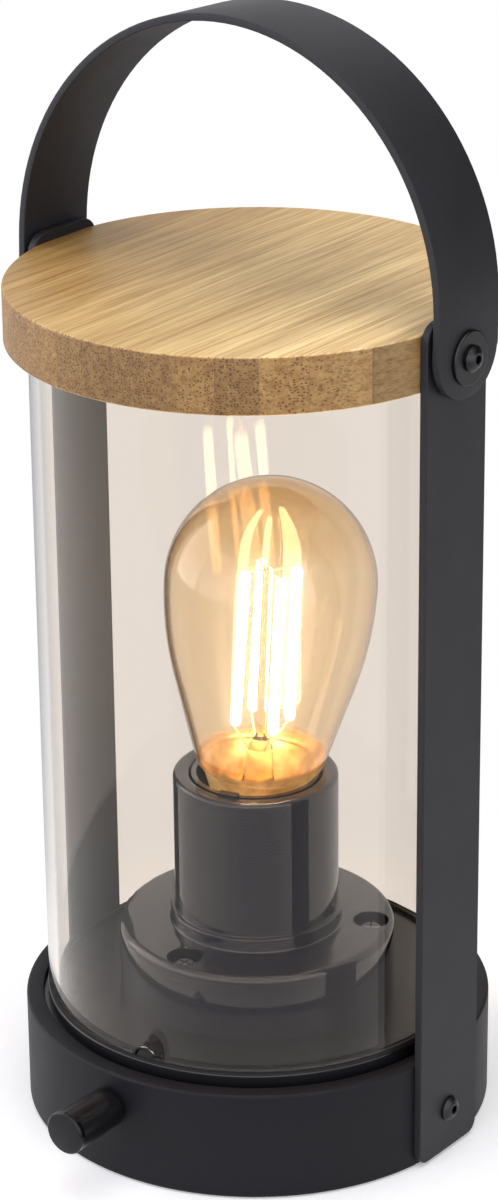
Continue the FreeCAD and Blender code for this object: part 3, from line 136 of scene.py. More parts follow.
def pale_floor():
    """A matt pale table top: it keeps the lamp's shadow, and is plain white a step away."""
    material, tree = new_tree("pale_floor")
    shade = add_node(tree, "BsdfDiffuse", {"Color": linear("#F4F4F4")})
    lift = add_node(tree, "Emission", {"Color": WHITE, "Strength": 0.2})
    near = add_node(tree, "AddShader", {0: shade.outputs[0], 1: lift.outputs[0]})
    far = shown_white(tree, shade)
    spot = add_node(tree, "TexCoord").outputs["Object"]
    away = add_node(tree, "VectorMath", {0: spot}, operation="LENGTH").outputs["Value"]
    # what gloss shows of the table is white at both sides and duller in front
    sideways = add_node(tree, "VectorMath", {0: spot, 1: level}, operation="DOT_PRODUCT")
    share = add_node(tree, "Math", {0: sideways.outputs["Value"], 1: away}, operation="DIVIDE")
    to_side = add_node(tree, "Math", {0: share.outputs[0]}, operation="ABSOLUTE")
    table = add_node(tree, "ValToRGB", {"Fac": to_side.outputs[0]},
                     stops=((0.3, linear("#C2C4CA")), (0.8, WHITE)))
    table_light = add_node(tree, "Emission", {"Color": table.outputs[0], "Strength": 1.0})
    bounces = add_node(tree, "LightPath").outputs["Glossy Depth"]
    by_gloss = add_node(tree, "Math", {0: bounces, 1: 1.0}, operation="MINIMUM")
    far = add_node(tree, "MixShader", {
        0: by_gloss.outputs[0], 1: far.outputs[0], 2: table_light.outputs[0]})
    fade = add_node(tree, "MapRange", {"Value": away, "From Min": SHADOW_NEAR, "From Max": SHADOW_FAR},
                    interpolation_type="SMOOTHSTEP")
    close_tree(tree, add_node(tree, "MixShader", {
        0: fade.outputs[0], 1: near.outputs[0], 2: far.outputs[0]}))
    return material


def brown_felt():
    """Felt in two near browns, with its nap drawn wide enough to be told in a reflection."""
    material, tree = new_tree("brown_card")
    nap = add_node(tree, "TexNoise", {"Scale": cells(33.33)})
    felt = add_node(tree, "ValToRGB", {"Fac": nap.outputs["Fac"]},
                    stops=((0, linear("#4A3C2C")), (1, linear("#5E4D3A"))))
    close_tree(tree, add_node(tree, "BsdfDiffuse", {"Color": felt.outputs[0]}))
    return material


def staged(name, points, faces, material):
    """A sheet that belongs to the studio and not to the lamp."""
    mesh = bpy.data.meshes.new(name)
    mesh.from_pydata(points, [], faces)
    mesh.materials.append(material)
    sheet = bpy.data.objects.new(name, mesh)
    bpy.context.scene.collection.objects.link(sheet)
    return sheet


def area_light(name, place, target, size, power, colour="#FFFFFF"):
    """A soft rectangular lamp that faces a point."""
    lamp = bpy.data.objects.new(name, bpy.data.lights.new(name, "AREA"))
    lamp.data.shape = "RECTANGLE"
    lamp.data.size, lamp.data.size_y = size
    lamp.data.energy = power
    lamp.data.color = linear(colour)[:3]
    lamp.location = place
    lamp.rotation_euler = (Vector(target) - Vector(place)).to_track_quat("-Z", "Y").to_euler()
    bpy.context.scene.collection.objects.link(lamp)


def round_the_lamp(bearing, distance, height):
    """A place by its bearing in degrees from the photograph's side, positive to the right."""
    turn = math.radians(-90 + STAND_AZIMUTH + bearing)
    return (distance * math.cos(turn), distance * math.sin(turn), height)


world = bpy.data.worlds.new("studio")
bpy.context.scene.world = world
world.use_nodes = True
world.node_tree.nodes.clear()
surround = add_node(world.node_tree, "Background", {"Color": WHITE, "Strength": SURROUND_LEVEL})
add_node(world.node_tree, "OutputWorld", {"Surface": shown_white(world.node_tree, surround).outputs[0]})

corners = [(sx * TABLE_HALF, sy * TABLE_HALF, 0) for sx, sy in ((-1, -1), (1, -1), (1, 1), (-1, 1))]
staged("floor", corners, [(0, 1, 2, 3)], pale_floor())

for index, (bearing, watts) in enumerate(SIDE_PANELS):
    area_light("side_panel_%d" % index, round_the_lamp(bearing, PANEL_REACH, PANEL_HEIGHT),
               PANEL_AIM, PANEL_SIZE, watts, "#F9F6FF")
area_light("top_panel", TOP_PANEL_PLACE, TOP_PANEL_AIM, TOP_PANEL_SIZE, TOP_PANEL_WATTS)

felt = brown_felt()
for name, first, last in CARDS:
    bend = [round_the_lamp(first + (last - first) * part / CARD_PARTS, CARD_REACH, height)
            for part in range(CARD_PARTS + 1) for height in (CARD_LOW, CARD_HIGH)]
    card = staged(name, bend, [(2 * k, 2 * k + 2, 2 * k + 3, 2 * k + 1) for k in range(CARD_PARTS)], felt)
    card.visible_camera = card.visible_diffuse = card.visible_shadow = card.visible_transmission = False


# ---------------------------------------------------------------- base drum
# A low steel shell turned with a narrow lip, with a flat at each side where an upright
# seats and a slot at the back for the charger, powder coated. A moulded cover with a
# rubber pad closes it from below with three screws. Millimetres from here on.
DRUM_RADIUS, DRUM_BORE, DRUM_FOOT, DRUM_TOP = 72, 69, 0.4, 35
LIP_BORE, LIP_FOOT = 66.6, 33.5
FLAT_X = 70.5
SLOT_HALF, SLOT_LOW, SLOT_HIGH, SLOT_CORNER = 5.0, 10.1, 14.3, 2.0
ON_AXIS = 0.001
DOUBLED = 0.0001


def clean_mesh(name, points, faces):
    """A mesh from millimetre points, with doubled points joined and its faces turned outward."""
    mesh = bpy.data.meshes.new(name)
    mesh.from_pydata([[c * MM for c in p] for p in points], [], faces)
    work = bmesh.new()
    work.from_mesh(mesh)
    bmesh.ops.remove_doubles(work, verts=work.verts, dist=DOUBLED * MM)
    bmesh.ops.recalc_face_normals(work, faces=work.faces)
    work.to_mesh(mesh)
    work.free()
    return mesh


def mesh_piece(name, points, faces, material, body, replaced=(), sharp=32):
    """A shaded piece from millimetre points, riding on a body. Sharp edges in degrees."""
    mesh = clean_mesh(name, points, faces)
    mesh.polygons.foreach_set("use_smooth", [True] * len(mesh.polygons))
    mesh.set_sharp_from_angle(angle=math.radians(sharp))
    mesh.materials.append(material)
    piece = bpy.data.objects.new(name, mesh)
    bpy.context.scene.collection.objects.link(piece)
    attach(piece, body)
    if replaced:
        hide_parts(*replaced)
    return piece


def ring_faces(rings, count, loop=False):
    """Quads between rings of equal count, which are closed at both ends or joined in a loop."""
    faces = []
    for ring in range(rings if loop else rings - 1):
        near, far = ring * count, (ring + 1) % rings * count
        for step in range(count):
            after = (step + 1) % count
            faces.append((near + step, near + after, far + after, far + step))
    if not loop:
        faces.append(tuple(range(count)))
        faces.append(tuple(range((rings - 1) * count, rings * count)))
    return faces


def even_turns(count):
    """The angles of a whole turn in equal steps."""
    return [2 * math.pi * step / count for step in range(count)]


def lathe(name, outline, material, body, replaced=(), angles=None, sharp=32, place=None):
    """A turned piece. A radius or height in the outline may be a function of the angle."""
    angles = angles or even_turns(192)
    points = []
    for radius, height in outline:
        for angle in angles:
            r = radius(angle) if callable(radius) else radius
            h = height(angle) if callable(height) else height
            points.append(Vector((r * math.cos(angle), r * math.sin(angle), h)))
    if place is not None:
        points = [place @ p for p in points]
    faces = ring_faces(len(outline), len(angles), loop=True)
    return mesh_piece(name, points, faces, material, body, replaced, sharp)


def rounded(outline):
    """An outline whose points may carry a corner radius as a third value."""
    made = []
    for index, point in enumerate(outline):
        if len(point) < 3:
            made.append(point)
            continue
        here, radius = Vector(point[:2]), point[2]
        back = (Vector(outline[index - 1][:2]) - here).normalized()
        forth = (Vector(outline[(index + 1) % len(outline)][:2]) - here).normalized()
        half = math.acos(max(-1, min(1, back.dot(forth)))) / 2
        reach = radius / math.tan(half)
        centre = here + (back + forth).normalized() * radius / math.sin(half)
        first = here + back * reach - centre
        last = here + forth * reach - centre
        turn = math.atan2(first.x * last.y - first.y * last.x, first.dot(last))
        made.extend(tuple(centre + Matrix.Rotation(turn * step / 6, 2) @ first) for step in range(7))
    return made


def flatted(outline):
    """The outline with all that reaches past the uprights' seats cut to two flats."""
    def cut(radius):
        return lambda angle: min(radius, FLAT_X / max(abs(math.cos(angle)), 0.01))
    return [(cut(radius) if radius > FLAT_X else radius, height) for radius, height in outline]


def arc(centre, radius, start, stop, steps):
    """Points along an arc in an outline's plane, with both ends."""
    turns = [start + (stop - start) * step / steps for step in range(steps + 1)]
    return [(centre[0] + radius * math.cos(t), centre[1] + radius * math.sin(t)) for t in turns]


def corner_outline(half, low, high, low_round, high_round):
    """An upright rectangle with two corner radii at its foot and two at its head."""
    outline = []
    for side, height, radius, first in ((1, low + low_round, low_round, -90),
                                        (1, high - high_round, high_round, 0),
                                        (-1, high - high_round, high_round, 90),
                                        (-1, low + low_round, low_round, 180)):
        outline += arc((side * (half - radius), height), radius,
                       math.radians(first), math.radians(first + 90), 8)
    return outline


def cut_with(piece, points, faces):
    """Cuts a closed mesh out of a piece."""
    cutter = bpy.data.objects.new("cutter", clean_mesh("cutter", points, faces))
    bpy.context.scene.collection.objects.link(cutter)
    change = piece.modifiers.new("cut", "BOOLEAN")
    change.operation = "DIFFERENCE"
    change.solver = "EXACT"
    change.object = cutter
    bpy.context.view_layer.update()
    shaped = piece.evaluated_get(bpy.context.evaluated_depsgraph_get())
    made = bpy.data.meshes.new_from_object(shaped)
    piece.modifiers.clear()
    piece.data = made
    bpy.data.objects.remove(cutter)


def shades(colour, under, above):
    """Ramp stops from a share of a colour to a larger share of it."""
    base = linear(colour)[:3]
    return ((0, [c * under for c in base] + [1]), (1, [min(c * above, 1) for c in base] + [1]))


def powder_coat(name, colour, gloss=0.3):
    """Powder coat baked on steel: a matt skin with fine orange peel, a little uneven in tone."""
    material, tree = new_tree(name)
    coords = add_node(tree, "TexCoord").outputs["Object"]
    peel = add_node(tree, "TexNoise", {"Vector": coords, "Scale": cells(0.3846), "Detail": 2.0})
    cloud = add_node(tree, "TexNoise", {"Vector": coords, "Scale": cells(16.67), "Detail": 3.0})
    tone = add_node(tree, "ValToRGB", {"Fac": cloud.outputs["Fac"]}, stops=shades(colour, 0.9, 1.1))
    speck = add_node(tree, "ValToRGB", {"Fac": peel.outputs["Fac"]},
                     stops=((0.3, (0.82, 0.82, 0.82, 1)), (0.7, (1.18, 1.18, 1.18, 1))))
    skin = add_node(tree, "Mix", {"Factor": 1.0, "A": tone.outputs[0], "B": speck.outputs[0]},
                    data_type="RGBA", blend_type="MULTIPLY")
    rough = add_node(tree, "MapRange", {"Value": cloud.outputs["Fac"], "To Min": 0.46, "To Max": 0.6})
    bump = add_node(tree, "Bump", {"Height": peel.outputs["Fac"], "Strength": 0.5, "Distance": 0.08 * MM})
    close_tree(tree, add_node(tree, "BsdfPrincipled", {
        "Base Color": skin.outputs["Result"], "Roughness": rough.outputs[0],
        "Specular IOR Level": gloss, "Normal": bump.outputs[0]}))
    return material


def moulded(name, colour, rough, grain=0.6667, depth=0.04, gloss_skin=0.0):
    """Moulded plastic: a faint spark-eroded grain and a slightly uneven gloss.

    The gloss skin is that of a polished mould. Grain and its depth are in millimetres.
    """
    material, tree = new_tree(name)
    coords = add_node(tree, "TexCoord").outputs["Object"]
    fine = add_node(tree, "TexNoise", {"Vector": coords, "Scale": cells(grain), "Detail": 3.0})
    broad = add_node(tree, "TexNoise", {"Vector": coords, "Scale": cells(28.57), "Detail": 2.0})
    tone = add_node(tree, "ValToRGB", {"Fac": broad.outputs["Fac"]}, stops=shades(colour, 0.92, 1.08))
    gloss = add_node(tree, "MapRange", {"Value": broad.outputs["Fac"], "To Min": rough * 0.9,
                                        "To Max": rough * 1.12})
    bump = add_node(tree, "Bump", {"Height": fine.outputs["Fac"], "Strength": 0.4, "Distance": depth * MM})
    close_tree(tree, add_node(tree, "BsdfPrincipled", {
        "Base Color": tone.outputs[0], "Roughness": gloss.outputs[0], "Normal": bump.outputs[0],
        "Coat Weight": gloss_skin, "Coat Roughness": 0.03}))
    return material


def metal(name, colour, rough, glow=0.0):
    """Plain metal with small clouds in its tone and gloss, and, where given, a painted glow."""
    material, tree = new_tree(name)
    coords = add_node(tree, "TexCoord").outputs["Object"]
    cloud = add_node(tree, "TexNoise", {"Vector": coords, "Scale": cells(3.333), "Detail": 4.0})
    tone = add_node(tree, "ValToRGB", {"Fac": cloud.outputs["Fac"]}, stops=shades(colour, 0.85, 1.12))
    gloss = add_node(tree, "MapRange", {"Value": cloud.outputs["Fac"], "To Min": rough * 0.8,
                                        "To Max": rough * 1.2})
    close_tree(tree, add_node(tree, "BsdfPrincipled", {
        "Base Color": tone.outputs[0], "Metallic": 1.0, "Roughness": gloss.outputs[0],
        "Emission Color": tone.outputs[0], "Emission Strength": glow}))
    return material


def dress(material, *nodes):
    """Gives the CAD's own solids their finish."""
    for node in nodes:
        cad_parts[node].data.materials.clear()
        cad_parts[node].data.materials.append(material)


drum_outline = rounded([
    (DRUM_BORE, DRUM_FOOT), (DRUM_RADIUS, DRUM_FOOT, 0.8), (DRUM_RADIUS, DRUM_TOP, 1.0),
    (LIP_BORE, DRUM_TOP, 0.4), (LIP_BORE, LIP_FOOT), (DRUM_BORE, LIP_FOOT)])
flat_end = math.acos(FLAT_X / DRUM_RADIUS)
side_angles = sorted(even_turns(192) + [
    flat_end, math.pi - flat_end, math.pi + flat_end, 2 * math.pi - flat_end])
base = lathe("base", flatted(drum_outline), powder_coat("drum_powder_coat", "#111116", gloss=0.19),
             "lantern", ["base_housing"], side_angles)
slot_ring = corner_outline(SLOT_HALF, SLOT_LOW, SLOT_HIGH, SLOT_CORNER, SLOT_CORNER)
through_wall = (DRUM_BORE - 5, DRUM_RADIUS + 4)
cut_with(base, [(x, y, z) for y in through_wall for x, z in slot_ring], ring_faces(2, len(slot_ring)))

black_plastic = moulded("black_moulded_plastic", "#1B1B1D", 0.42)
black_screw = metal("blackened_steel", "#3A3A3C", 0.35)
dress(black_plastic, "bottom_cover")
dress(black_screw, "cover_screws")
dress(moulded("foot_rubber", "#141414", 0.8), "rubber_pad")


# ---------------------------------------------------------------- power
# Three shrink-sleeved cells in a moulded tray, a green laminate board with the charging
# port, and two insulated leads up to the lampholder. All are shown as the CAD builds them.
tinned = metal("tinned_metal", "#C9C9C6", 0.3)
dress(black_plastic, "battery_tray")
dress(moulded("cell_sleeve", "#3A78A8", 0.3), "battery_cells")
dress(moulded("board_laminate", "#14532D", 0.4), "control_board")
dress(tinned, "charge_port")
dress(moulded("lead_insulation", "#A02018", 0.4), "lamp_leads")


# ---------------------------------------------------------------- dial
# The knob is turned from black anodised aluminium: a slight taper, a bright bevel, a face
# with the lathe's radial sheen, and a short notch in the rim that marks its setting. It
# is pushed on the shaft of the dimmer, which a nut holds in the drum's wall.
KNOB_HEIGHT = 24
MARK, MARK_HALF = math.radians(27), 0.37
MARK_DEPTH = 0.7
TOOL_PITCH = 0.2417


def anodised_knob():
    """Black anodised turned aluminium: its fine rings give a sheen that fans from the centre.

    The rings are drawn wider than the tool's real feed, so that they show.
    """
    material, tree = new_tree("black_anodised")
    coords = add_node(tree, "TexCoord").outputs["Object"]
    centred = add_node(tree, "Mapping", {"Vector": coords, "Location": (0, 0, -KNOB_HEIGHT * MM)})
    parts = add_node(tree, "SeparateXYZ", {0: centred.outputs[0]})
    flat = add_node(tree, "CombineXYZ", {"X": parts.outputs["X"], "Y": parts.outputs["Z"]})
    reach = add_node(tree, "VectorMath", {0: flat.outputs[0]}, operation="LENGTH")
    rings = add_node(tree, "Math", {0: reach.outputs["Value"], 1: 2 * math.pi * cells(TOOL_PITCH)},
                     operation="MULTIPLY")
    wave = add_node(tree, "Math", {0: rings.outputs[0]}, operation="SINE")
    cloud = add_node(tree, "TexNoise", {"Vector": coords, "Scale": cells(2), "Detail": 2.0})
    tone = add_node(tree, "ValToRGB", {"Fac": cloud.outputs["Fac"]}, stops=shades("#28282B", 0.85, 1.15))
    bump = add_node(tree, "Bump", {"Height": wave.outputs[0], "Strength": 0.1, "Distance": 0.02 * MM})
    round_way = add_node(tree, "Tangent", direction_type="RADIAL", axis="Y")
    close_tree(tree, add_node(tree, "BsdfPrincipled", {
        "Base Color": tone.outputs[0], "Metallic": 0.85, "Roughness": 0.22,
        "Anisotropic": 0.85, "Anisotropic Rotation": 0.25, "Normal": bump.outputs[0],
        "Tangent": round_way.outputs[0]}))
    return material


def angle_from(middle, angle):
    """How far round an angle is from a middle one, either way."""
    return (angle - middle + math.pi) % (2 * math.pi) - math.pi


def marked(radius):
    """A radius with a short notch where the knob carries its mark."""
    return lambda angle: radius - MARK_DEPTH if abs(angle_from(MARK, angle)) < MARK_HALF else radius


# radius, and distance from the lamp's axis: face, bevel, notched rim, taper and bore
knob_outline = [
    (ON_AXIS, 93.5), (6.1, 93.5), (6.3, 93.45), (6.72, 93.05), (6.745, 92.95),
    (marked(6.745), 92.9), (marked(6.72), 91.6), (6.71, 91.55),
    (6.25, 73.6), (5.9, 73.0), (5.1, 73.0), (5.1, 75.5), (ON_AXIS, 75.5)]
knob_angles = sorted(even_turns(96) + [
    MARK + side * (MARK_HALF + step) for side in (-1, 1) for step in (-0.004, 0.004)])
to_front = Matrix(((1, 0, 0, 0), (0, 0, -1, 0), (0, 1, 0, KNOB_HEIGHT), (0, 0, 0, 1)))
lathe("knob_body", knob_outline, anodised_knob(), "dial", ["knob"], knob_angles,
      sharp=25, place=to_front)
dress(tinned, "dial_shaft", "dimmer_nut")
dress(black_plastic, "dimmer")


# ---------------------------------------------------------------- deck
# A black moulded plate that hangs in the drum's lip and carries the tube and the
# lampholder. It is shown as the CAD builds it, glossier than the cover beneath.
dress(moulded("deck_plastic", "#111113", 0.26), "deck")


# ---------------------------------------------------------------- lampholder
# One glossy dark grey moulding: a round foot, a stepped collar and a tall sleeve with a
# thick rolled mouth. Three deep pockets take the screws that hold it to the deck, and a
# black core in the sleeve carries the brass shell and the contact.
FOOT_RADIUS, FOOT_BORE, FOOT_LOW, FOOT_TOP, FOOT_UNDER = 42.5, 39.5, 38, 59, 56
COLLAR_RADIUS, COLLAR_TOP = 26.6, 63.5
SLEEVE_RADIUS, SLEEVE_BORE, SLEEVE_TOP = 25.3, 22.6, 108
MOUTH_BORE, MOUTH_FOOT, MOUTH_TAPER_FOOT = 20.2, 106.4, 104
FLOOR_RADIUS, FLOOR_BORE, FLOOR_LOW = 25.6, 8, 53
POCKET_PLACE, POCKET_RADIUS, POCKET_SIDES = 35.5, 5.5, 48

holder_grey = moulded("grey_gloss_plastic", "#1F1F25", 0.045, depth=0.0, gloss_skin=0.35)
holder_outline = rounded([
    (FLOOR_BORE, FLOOR_LOW), (FLOOR_RADIUS, FLOOR_LOW), (FLOOR_RADIUS, FOOT_UNDER),
    (FOOT_BORE, FOOT_UNDER), (FOOT_BORE, FOOT_LOW), (FOOT_RADIUS, FOOT_LOW),
    (FOOT_RADIUS, FOOT_TOP, 2.2), (COLLAR_RADIUS, FOOT_TOP, 0.6), (COLLAR_RADIUS, COLLAR_TOP, 0.5),
    (SLEEVE_RADIUS, COLLAR_TOP, 0.3), (SLEEVE_RADIUS, SLEEVE_TOP, 1.3), (MOUTH_BORE, SLEEVE_TOP, 1.3),
    (MOUTH_BORE, MOUTH_FOOT), (SLEEVE_BORE, MOUTH_TAPER_FOOT), (SLEEVE_BORE, FOOT_UNDER),
    (FLOOR_BORE, FOOT_UNDER)])
holder = lathe("lampholder_body", holder_outline, holder_grey, "lantern", ["lampholder"])
# a pocket's floor with the screw's hole, its wall, and the foot's edge round its mouth
pocket_outline = [(2.2, 54.5), (POCKET_RADIUS, 54.5), (POCKET_RADIUS, 58.9), (6.7, 58.0), (6.7, 53.5),
                  (2.2, 53.5)]
through_foot = (FLOOR_LOW - 3, FOOT_TOP + 3)
for bearing in (-90, 30, 150):
    turn = math.radians(bearing)
    seat_x, seat_y = POCKET_PLACE * math.cos(turn), POCKET_PLACE * math.sin(turn)
    circle = [(seat_x + POCKET_RADIUS * math.cos(t), seat_y + POCKET_RADIUS * math.sin(t))
              for t in even_turns(POCKET_SIDES)]
    cut_with(holder, [(x, y, z) for z in through_foot for x, y in circle], ring_faces(2, POCKET_SIDES))
    lathe("screw_pocket_%d" % (bearing % 360), pocket_outline, holder_grey, "lantern", (),
          even_turns(POCKET_SIDES),
          place=Matrix.Translation((seat_x, seat_y, 0)))

brass = metal("drawn_brass", "#D9B36A", 0.25)
dress(metal("zinc_plate", "#9A9A9D", 0.4), "holder_screws")
dress(moulded("core_plastic", "#121213", 0.1, 1.111, 0.001, 1.0), "holder_core")
dress(brass, "threaded_shell", "centre_contact")


# ---------------------------------------------------------------- bulb
# A pear-shaped filament bulb in lightly amber glass, blown and sealed in a brass screw
# cap, where it sits a little crooked. A glass stem holds four coated filaments on wires.
BULB_RADIUS, DOME_HEIGHT, SIDE_RADIUS = 32, 169.9, 110.0
NECK_RADIUS, NECK_HEIGHT, SHOULDER_RADIUS, SHOULDER_END = 19.8, 112.3, 3.4, math.radians(-70)
THROAT_RADIUS, THROAT_TOP, THROAT_FOOT = 12.2, 94, 87
GLASS_WALL = 0.9
CAP_RIM, BULB_LEAN, LEAN_BEARING = 88.0, math.radians(3.6), math.radians(38)
ROD_LENGTH, ROD_FOOT, ROD_FOOT_REACH, ROD_HEAD_REACH = 50, 124, 8.8, 8.3
ROD_BEARING, ROD_SIDES = 58, 16
ROD_TIP = [(ON_AXIS, 0), (0.8, 0.15), (1.35, 0.6), (1.6, 1.4)]


def bulb_outline(grow):
    """The glass from its crown to its throat: dome, swept side, taper and shoulder."""
    radius, roll = BULB_RADIUS + grow, SHOULDER_RADIUS + grow
    neck = Vector((NECK_RADIUS + grow, NECK_HEIGHT))
    hub = Vector((radius - SIDE_RADIUS, DOME_HEIGHT))
    gap = neck - hub
    slope = math.atan2(gap.y, gap.x) + math.acos(SIDE_RADIUS / gap.length)
    touch = hub + Vector((math.cos(slope), math.sin(slope))) * SIDE_RADIUS
    along = (neck - touch).normalized()
    pivot = neck + Vector((along.y, -along.x)) * roll
    start = math.atan2(neck.y - pivot.y, neck.x - pivot.x)
    made = [(max(x, ON_AXIS), z) for x, z in arc((0, DOME_HEIGHT), radius, math.pi / 2, 0, 28)]
    made += arc(hub, SIDE_RADIUS, 0, slope, 14)[1:]
    made += arc(pivot, roll, start, SHOULDER_END, 12)
    return made + [(THROAT_RADIUS + grow, THROAT_TOP), (THROAT_RADIUS + grow, THROAT_FOOT)]


def turn_about(centre, angle, axis):
    """The turn by an angle round an axis through a point."""
    there = Matrix.Translation(centre)
    return there @ Matrix.Rotation(angle, 4, axis) @ there.inverted()


def lit_through(tree, surface, tint):
    """Closes a glass's tree, so that lamp light passes it tinted, without a solid shadow."""
    path = add_node(tree, "LightPath")
    through = add_node(tree, "BsdfTransparent", {"Color": linear(tint)})
    close_tree(tree, add_node(tree, "MixShader", {
        0: path.outputs["Is Shadow Ray"], 1: surface.outputs[0], 2: through.outputs[0]}))


def amber_glass():
    """Thin amber glass, deeper where it slants away, darker at the crown by a painted reflection, with a
    faint haze.

    A painted glow of filament light, golden, shines where the glass turns in at the neck.
    """
    material, tree = new_tree("amber_bulb_glass")
    coords = add_node(tree, "TexCoord").outputs["Object"]
    axes = add_node(tree, "SeparateXYZ", {0: coords})
    waves = add_node(tree, "TexNoise", {"Vector": coords, "Scale": cells(50), "Detail": 1.0})
    bump = add_node(tree, "Bump", {"Height": waves.outputs["Fac"], "Strength": 0.05, "Distance": 0.4 * MM})
    slant = add_node(tree, "LayerWeight", {"Blend": 0.35})
    depth = add_node(tree, "ValToRGB", {"Fac": slant.outputs["Facing"]},
                     stops=((0.45, linear("#F9ECD6")), (0.95, linear("#DDA85A"))))
    # the crown's darker tint, a painted reflection, begins along a wandering line
    flow = add_node(tree, "TexNoise", {"Vector": coords, "Scale": cells(26.32), "Detail": 1.0})
    rise = add_node(tree, "Math", {0: flow.outputs["Fac"], 1: 20 * MM, 2: axes.outputs["Z"]},
                    operation="MULTIPLY_ADD")
    to_crown = add_node(tree, "MapRange", {"Value": rise.outputs[0], "From Min": 175 * MM,
                                           "From Max": 212 * MM})
    crown_painted_reflection = add_node(tree, "ValToRGB", {"Fac": to_crown.outputs[0]},
                     stops=((0.4, WHITE), (0.62, (0.92, 0.84, 0.7, 1))))
    tinted = add_node(tree, "Mix", {"Factor": 1.0, "A": depth.outputs[0], "B": crown_painted_reflection.outputs[0]},
                      data_type="RGBA", blend_type="MULTIPLY")
    glass = add_node(tree, "BsdfPrincipled", {
        "Base Color": tinted.outputs["Result"], "Roughness": 0.0, "IOR": 1.5,
        "Transmission Weight": 1.0, "Normal": bump.outputs[0]})
    haze = add_node(tree, "BsdfPrincipled", {
        "Base Color": linear("#FBF3E3"), "Roughness": 0.4, "IOR": 1.5, "Transmission Weight": 1.0})
    hazy = add_node(tree, "MixShader", {0: 0.03, 1: glass.outputs[0], 2: haze.outputs[0]})
    # the painted golden glow ends along a rippled line, and its painted light is stronger towards the cap
    ripple = add_node(tree, "TexNoise", {"Vector": coords, "Scale": cells(6.25), "Detail": 3.0})
    neck_glow_tone = add_node(tree, "ValToRGB", {"Fac": ripple.outputs["Fac"]},
                         stops=((0.3, linear("#A87A2A")), (0.7, linear("#EBCB8C"))))
    lit_low = add_node(tree, "MapRange", {"Value": axes.outputs["Z"], "From Min": 115.5 * MM,
                                          "From Max": 110.5 * MM, "To Min": 0.15, "To Max": 0.6})
    neck_painted_glow = add_node(tree, "BsdfPrincipled", {
        "Base Color": neck_glow_tone.outputs[0], "Metallic": 1.0, "Roughness": 0.28,
        "Emission Color": neck_glow_tone.outputs[0], "Emission Strength": lit_low.outputs[0]})
    height = add_node(tree, "Math", {0: ripple.outputs["Fac"], 1: 4 * MM, 2: axes.outputs["Z"]},
                      operation="MULTIPLY_ADD")
    below = add_node(tree, "MapRange", {"Value": height.outputs[0], "From Min": 116.5 * MM,
                                        "From Max": 114.5 * MM, "To Max": 0.72})
    surface = add_node(tree, "MixShader", {0: below.outputs[0], 1: hazy.outputs[0], 2: neck_painted_glow.outputs[0]})
    lit_through(tree, surface, "#F7EAD4")
    return material


def lit_filament():
    """A phosphor coat at full glow: warm white, beaded in tone along the rod."""
    material, tree = new_tree("lit_filament")
    coords = add_node(tree, "TexCoord").outputs["Object"]
    beads = add_node(tree, "TexNoise", {"Vector": coords, "Scale": cells(2.5), "Detail": 1.0})
    warm = add_node(tree, "ValToRGB", {"Fac": beads.outputs["Fac"]},
                    stops=((0, linear("#FFE8C4")), (1, linear("#FFF1DB"))))
    close_tree(tree, add_node(tree, "BsdfPrincipled", {
        "Base Color": warm.outputs[0], "Emission Color": warm.outputs[0],
        "Emission Strength": 50.0, "Roughness": 0.5}))
    return material


def clear(name, colour, index, tint=None, seat_shade_mask=None):
    """Clear glass, acrylic or silicone, faintly wavy. An optional mask paints an edge black as painted
    shade.
    """
    material, tree = new_tree(name)
    coords = add_node(tree, "TexCoord").outputs["Object"]
    waves = add_node(tree, "TexNoise", {"Vector": coords, "Scale": cells(71.43), "Detail": 1.0})
    bump = add_node(tree, "Bump", {"Height": waves.outputs["Fac"], "Strength": 0.03, "Distance": 0.4 * MM})
    shell = add_node(tree, "BsdfPrincipled", {
        "Base Color": linear(colour), "Roughness": 0.0, "IOR": index,
        "Transmission Weight": 1.0, "Normal": bump.outputs[0]})
    if seat_shade_mask:
        black = add_node(tree, "BsdfPrincipled", {"Base Color": linear("#0C0C0D"), "Roughness": 0.5})
        shell = add_node(tree, "MixShader", {
            0: seat_shade_mask(tree, coords), 1: shell.outputs[0], 2: black.outputs[0]})
    lit_through(tree, shell, tint or colour)
    return material


lean_axis = Vector((-math.sin(LEAN_BEARING), math.cos(LEAN_BEARING), 0))
crooked = turn_about((0, 0, CAP_RIM), BULB_LEAN, lean_axis)
lathe("bulb_envelope", bulb_outline(0) + bulb_outline(-GLASS_WALL)[::-1], amber_glass(), "bulb",
      ["bulb_glass"], even_turns(128), sharp=50, place=crooked)

rod_rings = ROD_TIP + [(radius, ROD_LENGTH - z) for radius, z in reversed(ROD_TIP)]
rod_points, rod_faces = [], []
for quarter in range(4):
    turn = math.radians(ROD_BEARING + 90 * quarter)
    way = Vector((math.cos(turn), math.sin(turn), 0))
    foot = way * ROD_FOOT_REACH + Vector((0, 0, ROD_FOOT))
    run = way * (ROD_HEAD_REACH - ROD_FOOT_REACH) + Vector((0, 0, ROD_LENGTH))
    stood = crooked @ Matrix.Translation(foot) @ run.to_track_quat("Z", "X").to_matrix().to_4x4()
    first = len(rod_points)
    rod_points.extend(stood @ Vector((radius * math.cos(t), radius * math.sin(t), z))
                      for radius, z in rod_rings for t in even_turns(ROD_SIDES))
    rod_faces.extend(tuple(first + i for i in face) for face in ring_faces(len(rod_rings), ROD_SIDES))
mesh_piece("filament_rods", rod_points, rod_faces, lit_filament(), "bulb", ["filaments"],
           sharp=60)

dress(brass, "bulb_cap")
dress(moulded("black_vitrite", "#0B0B0D", 0.12), "cap_insulator")
dress(tinned, "bulb_contact")
dress(clear("stem_glass", "#FFF6E6", 1.2), "bulb_stem")
# the wires' warm colour and glow are painted light, standing in for the filaments' light on them
dress(metal("wire_painted_glow", "#F6D9A0", 0.3, glow=0.8), "filament_wires")


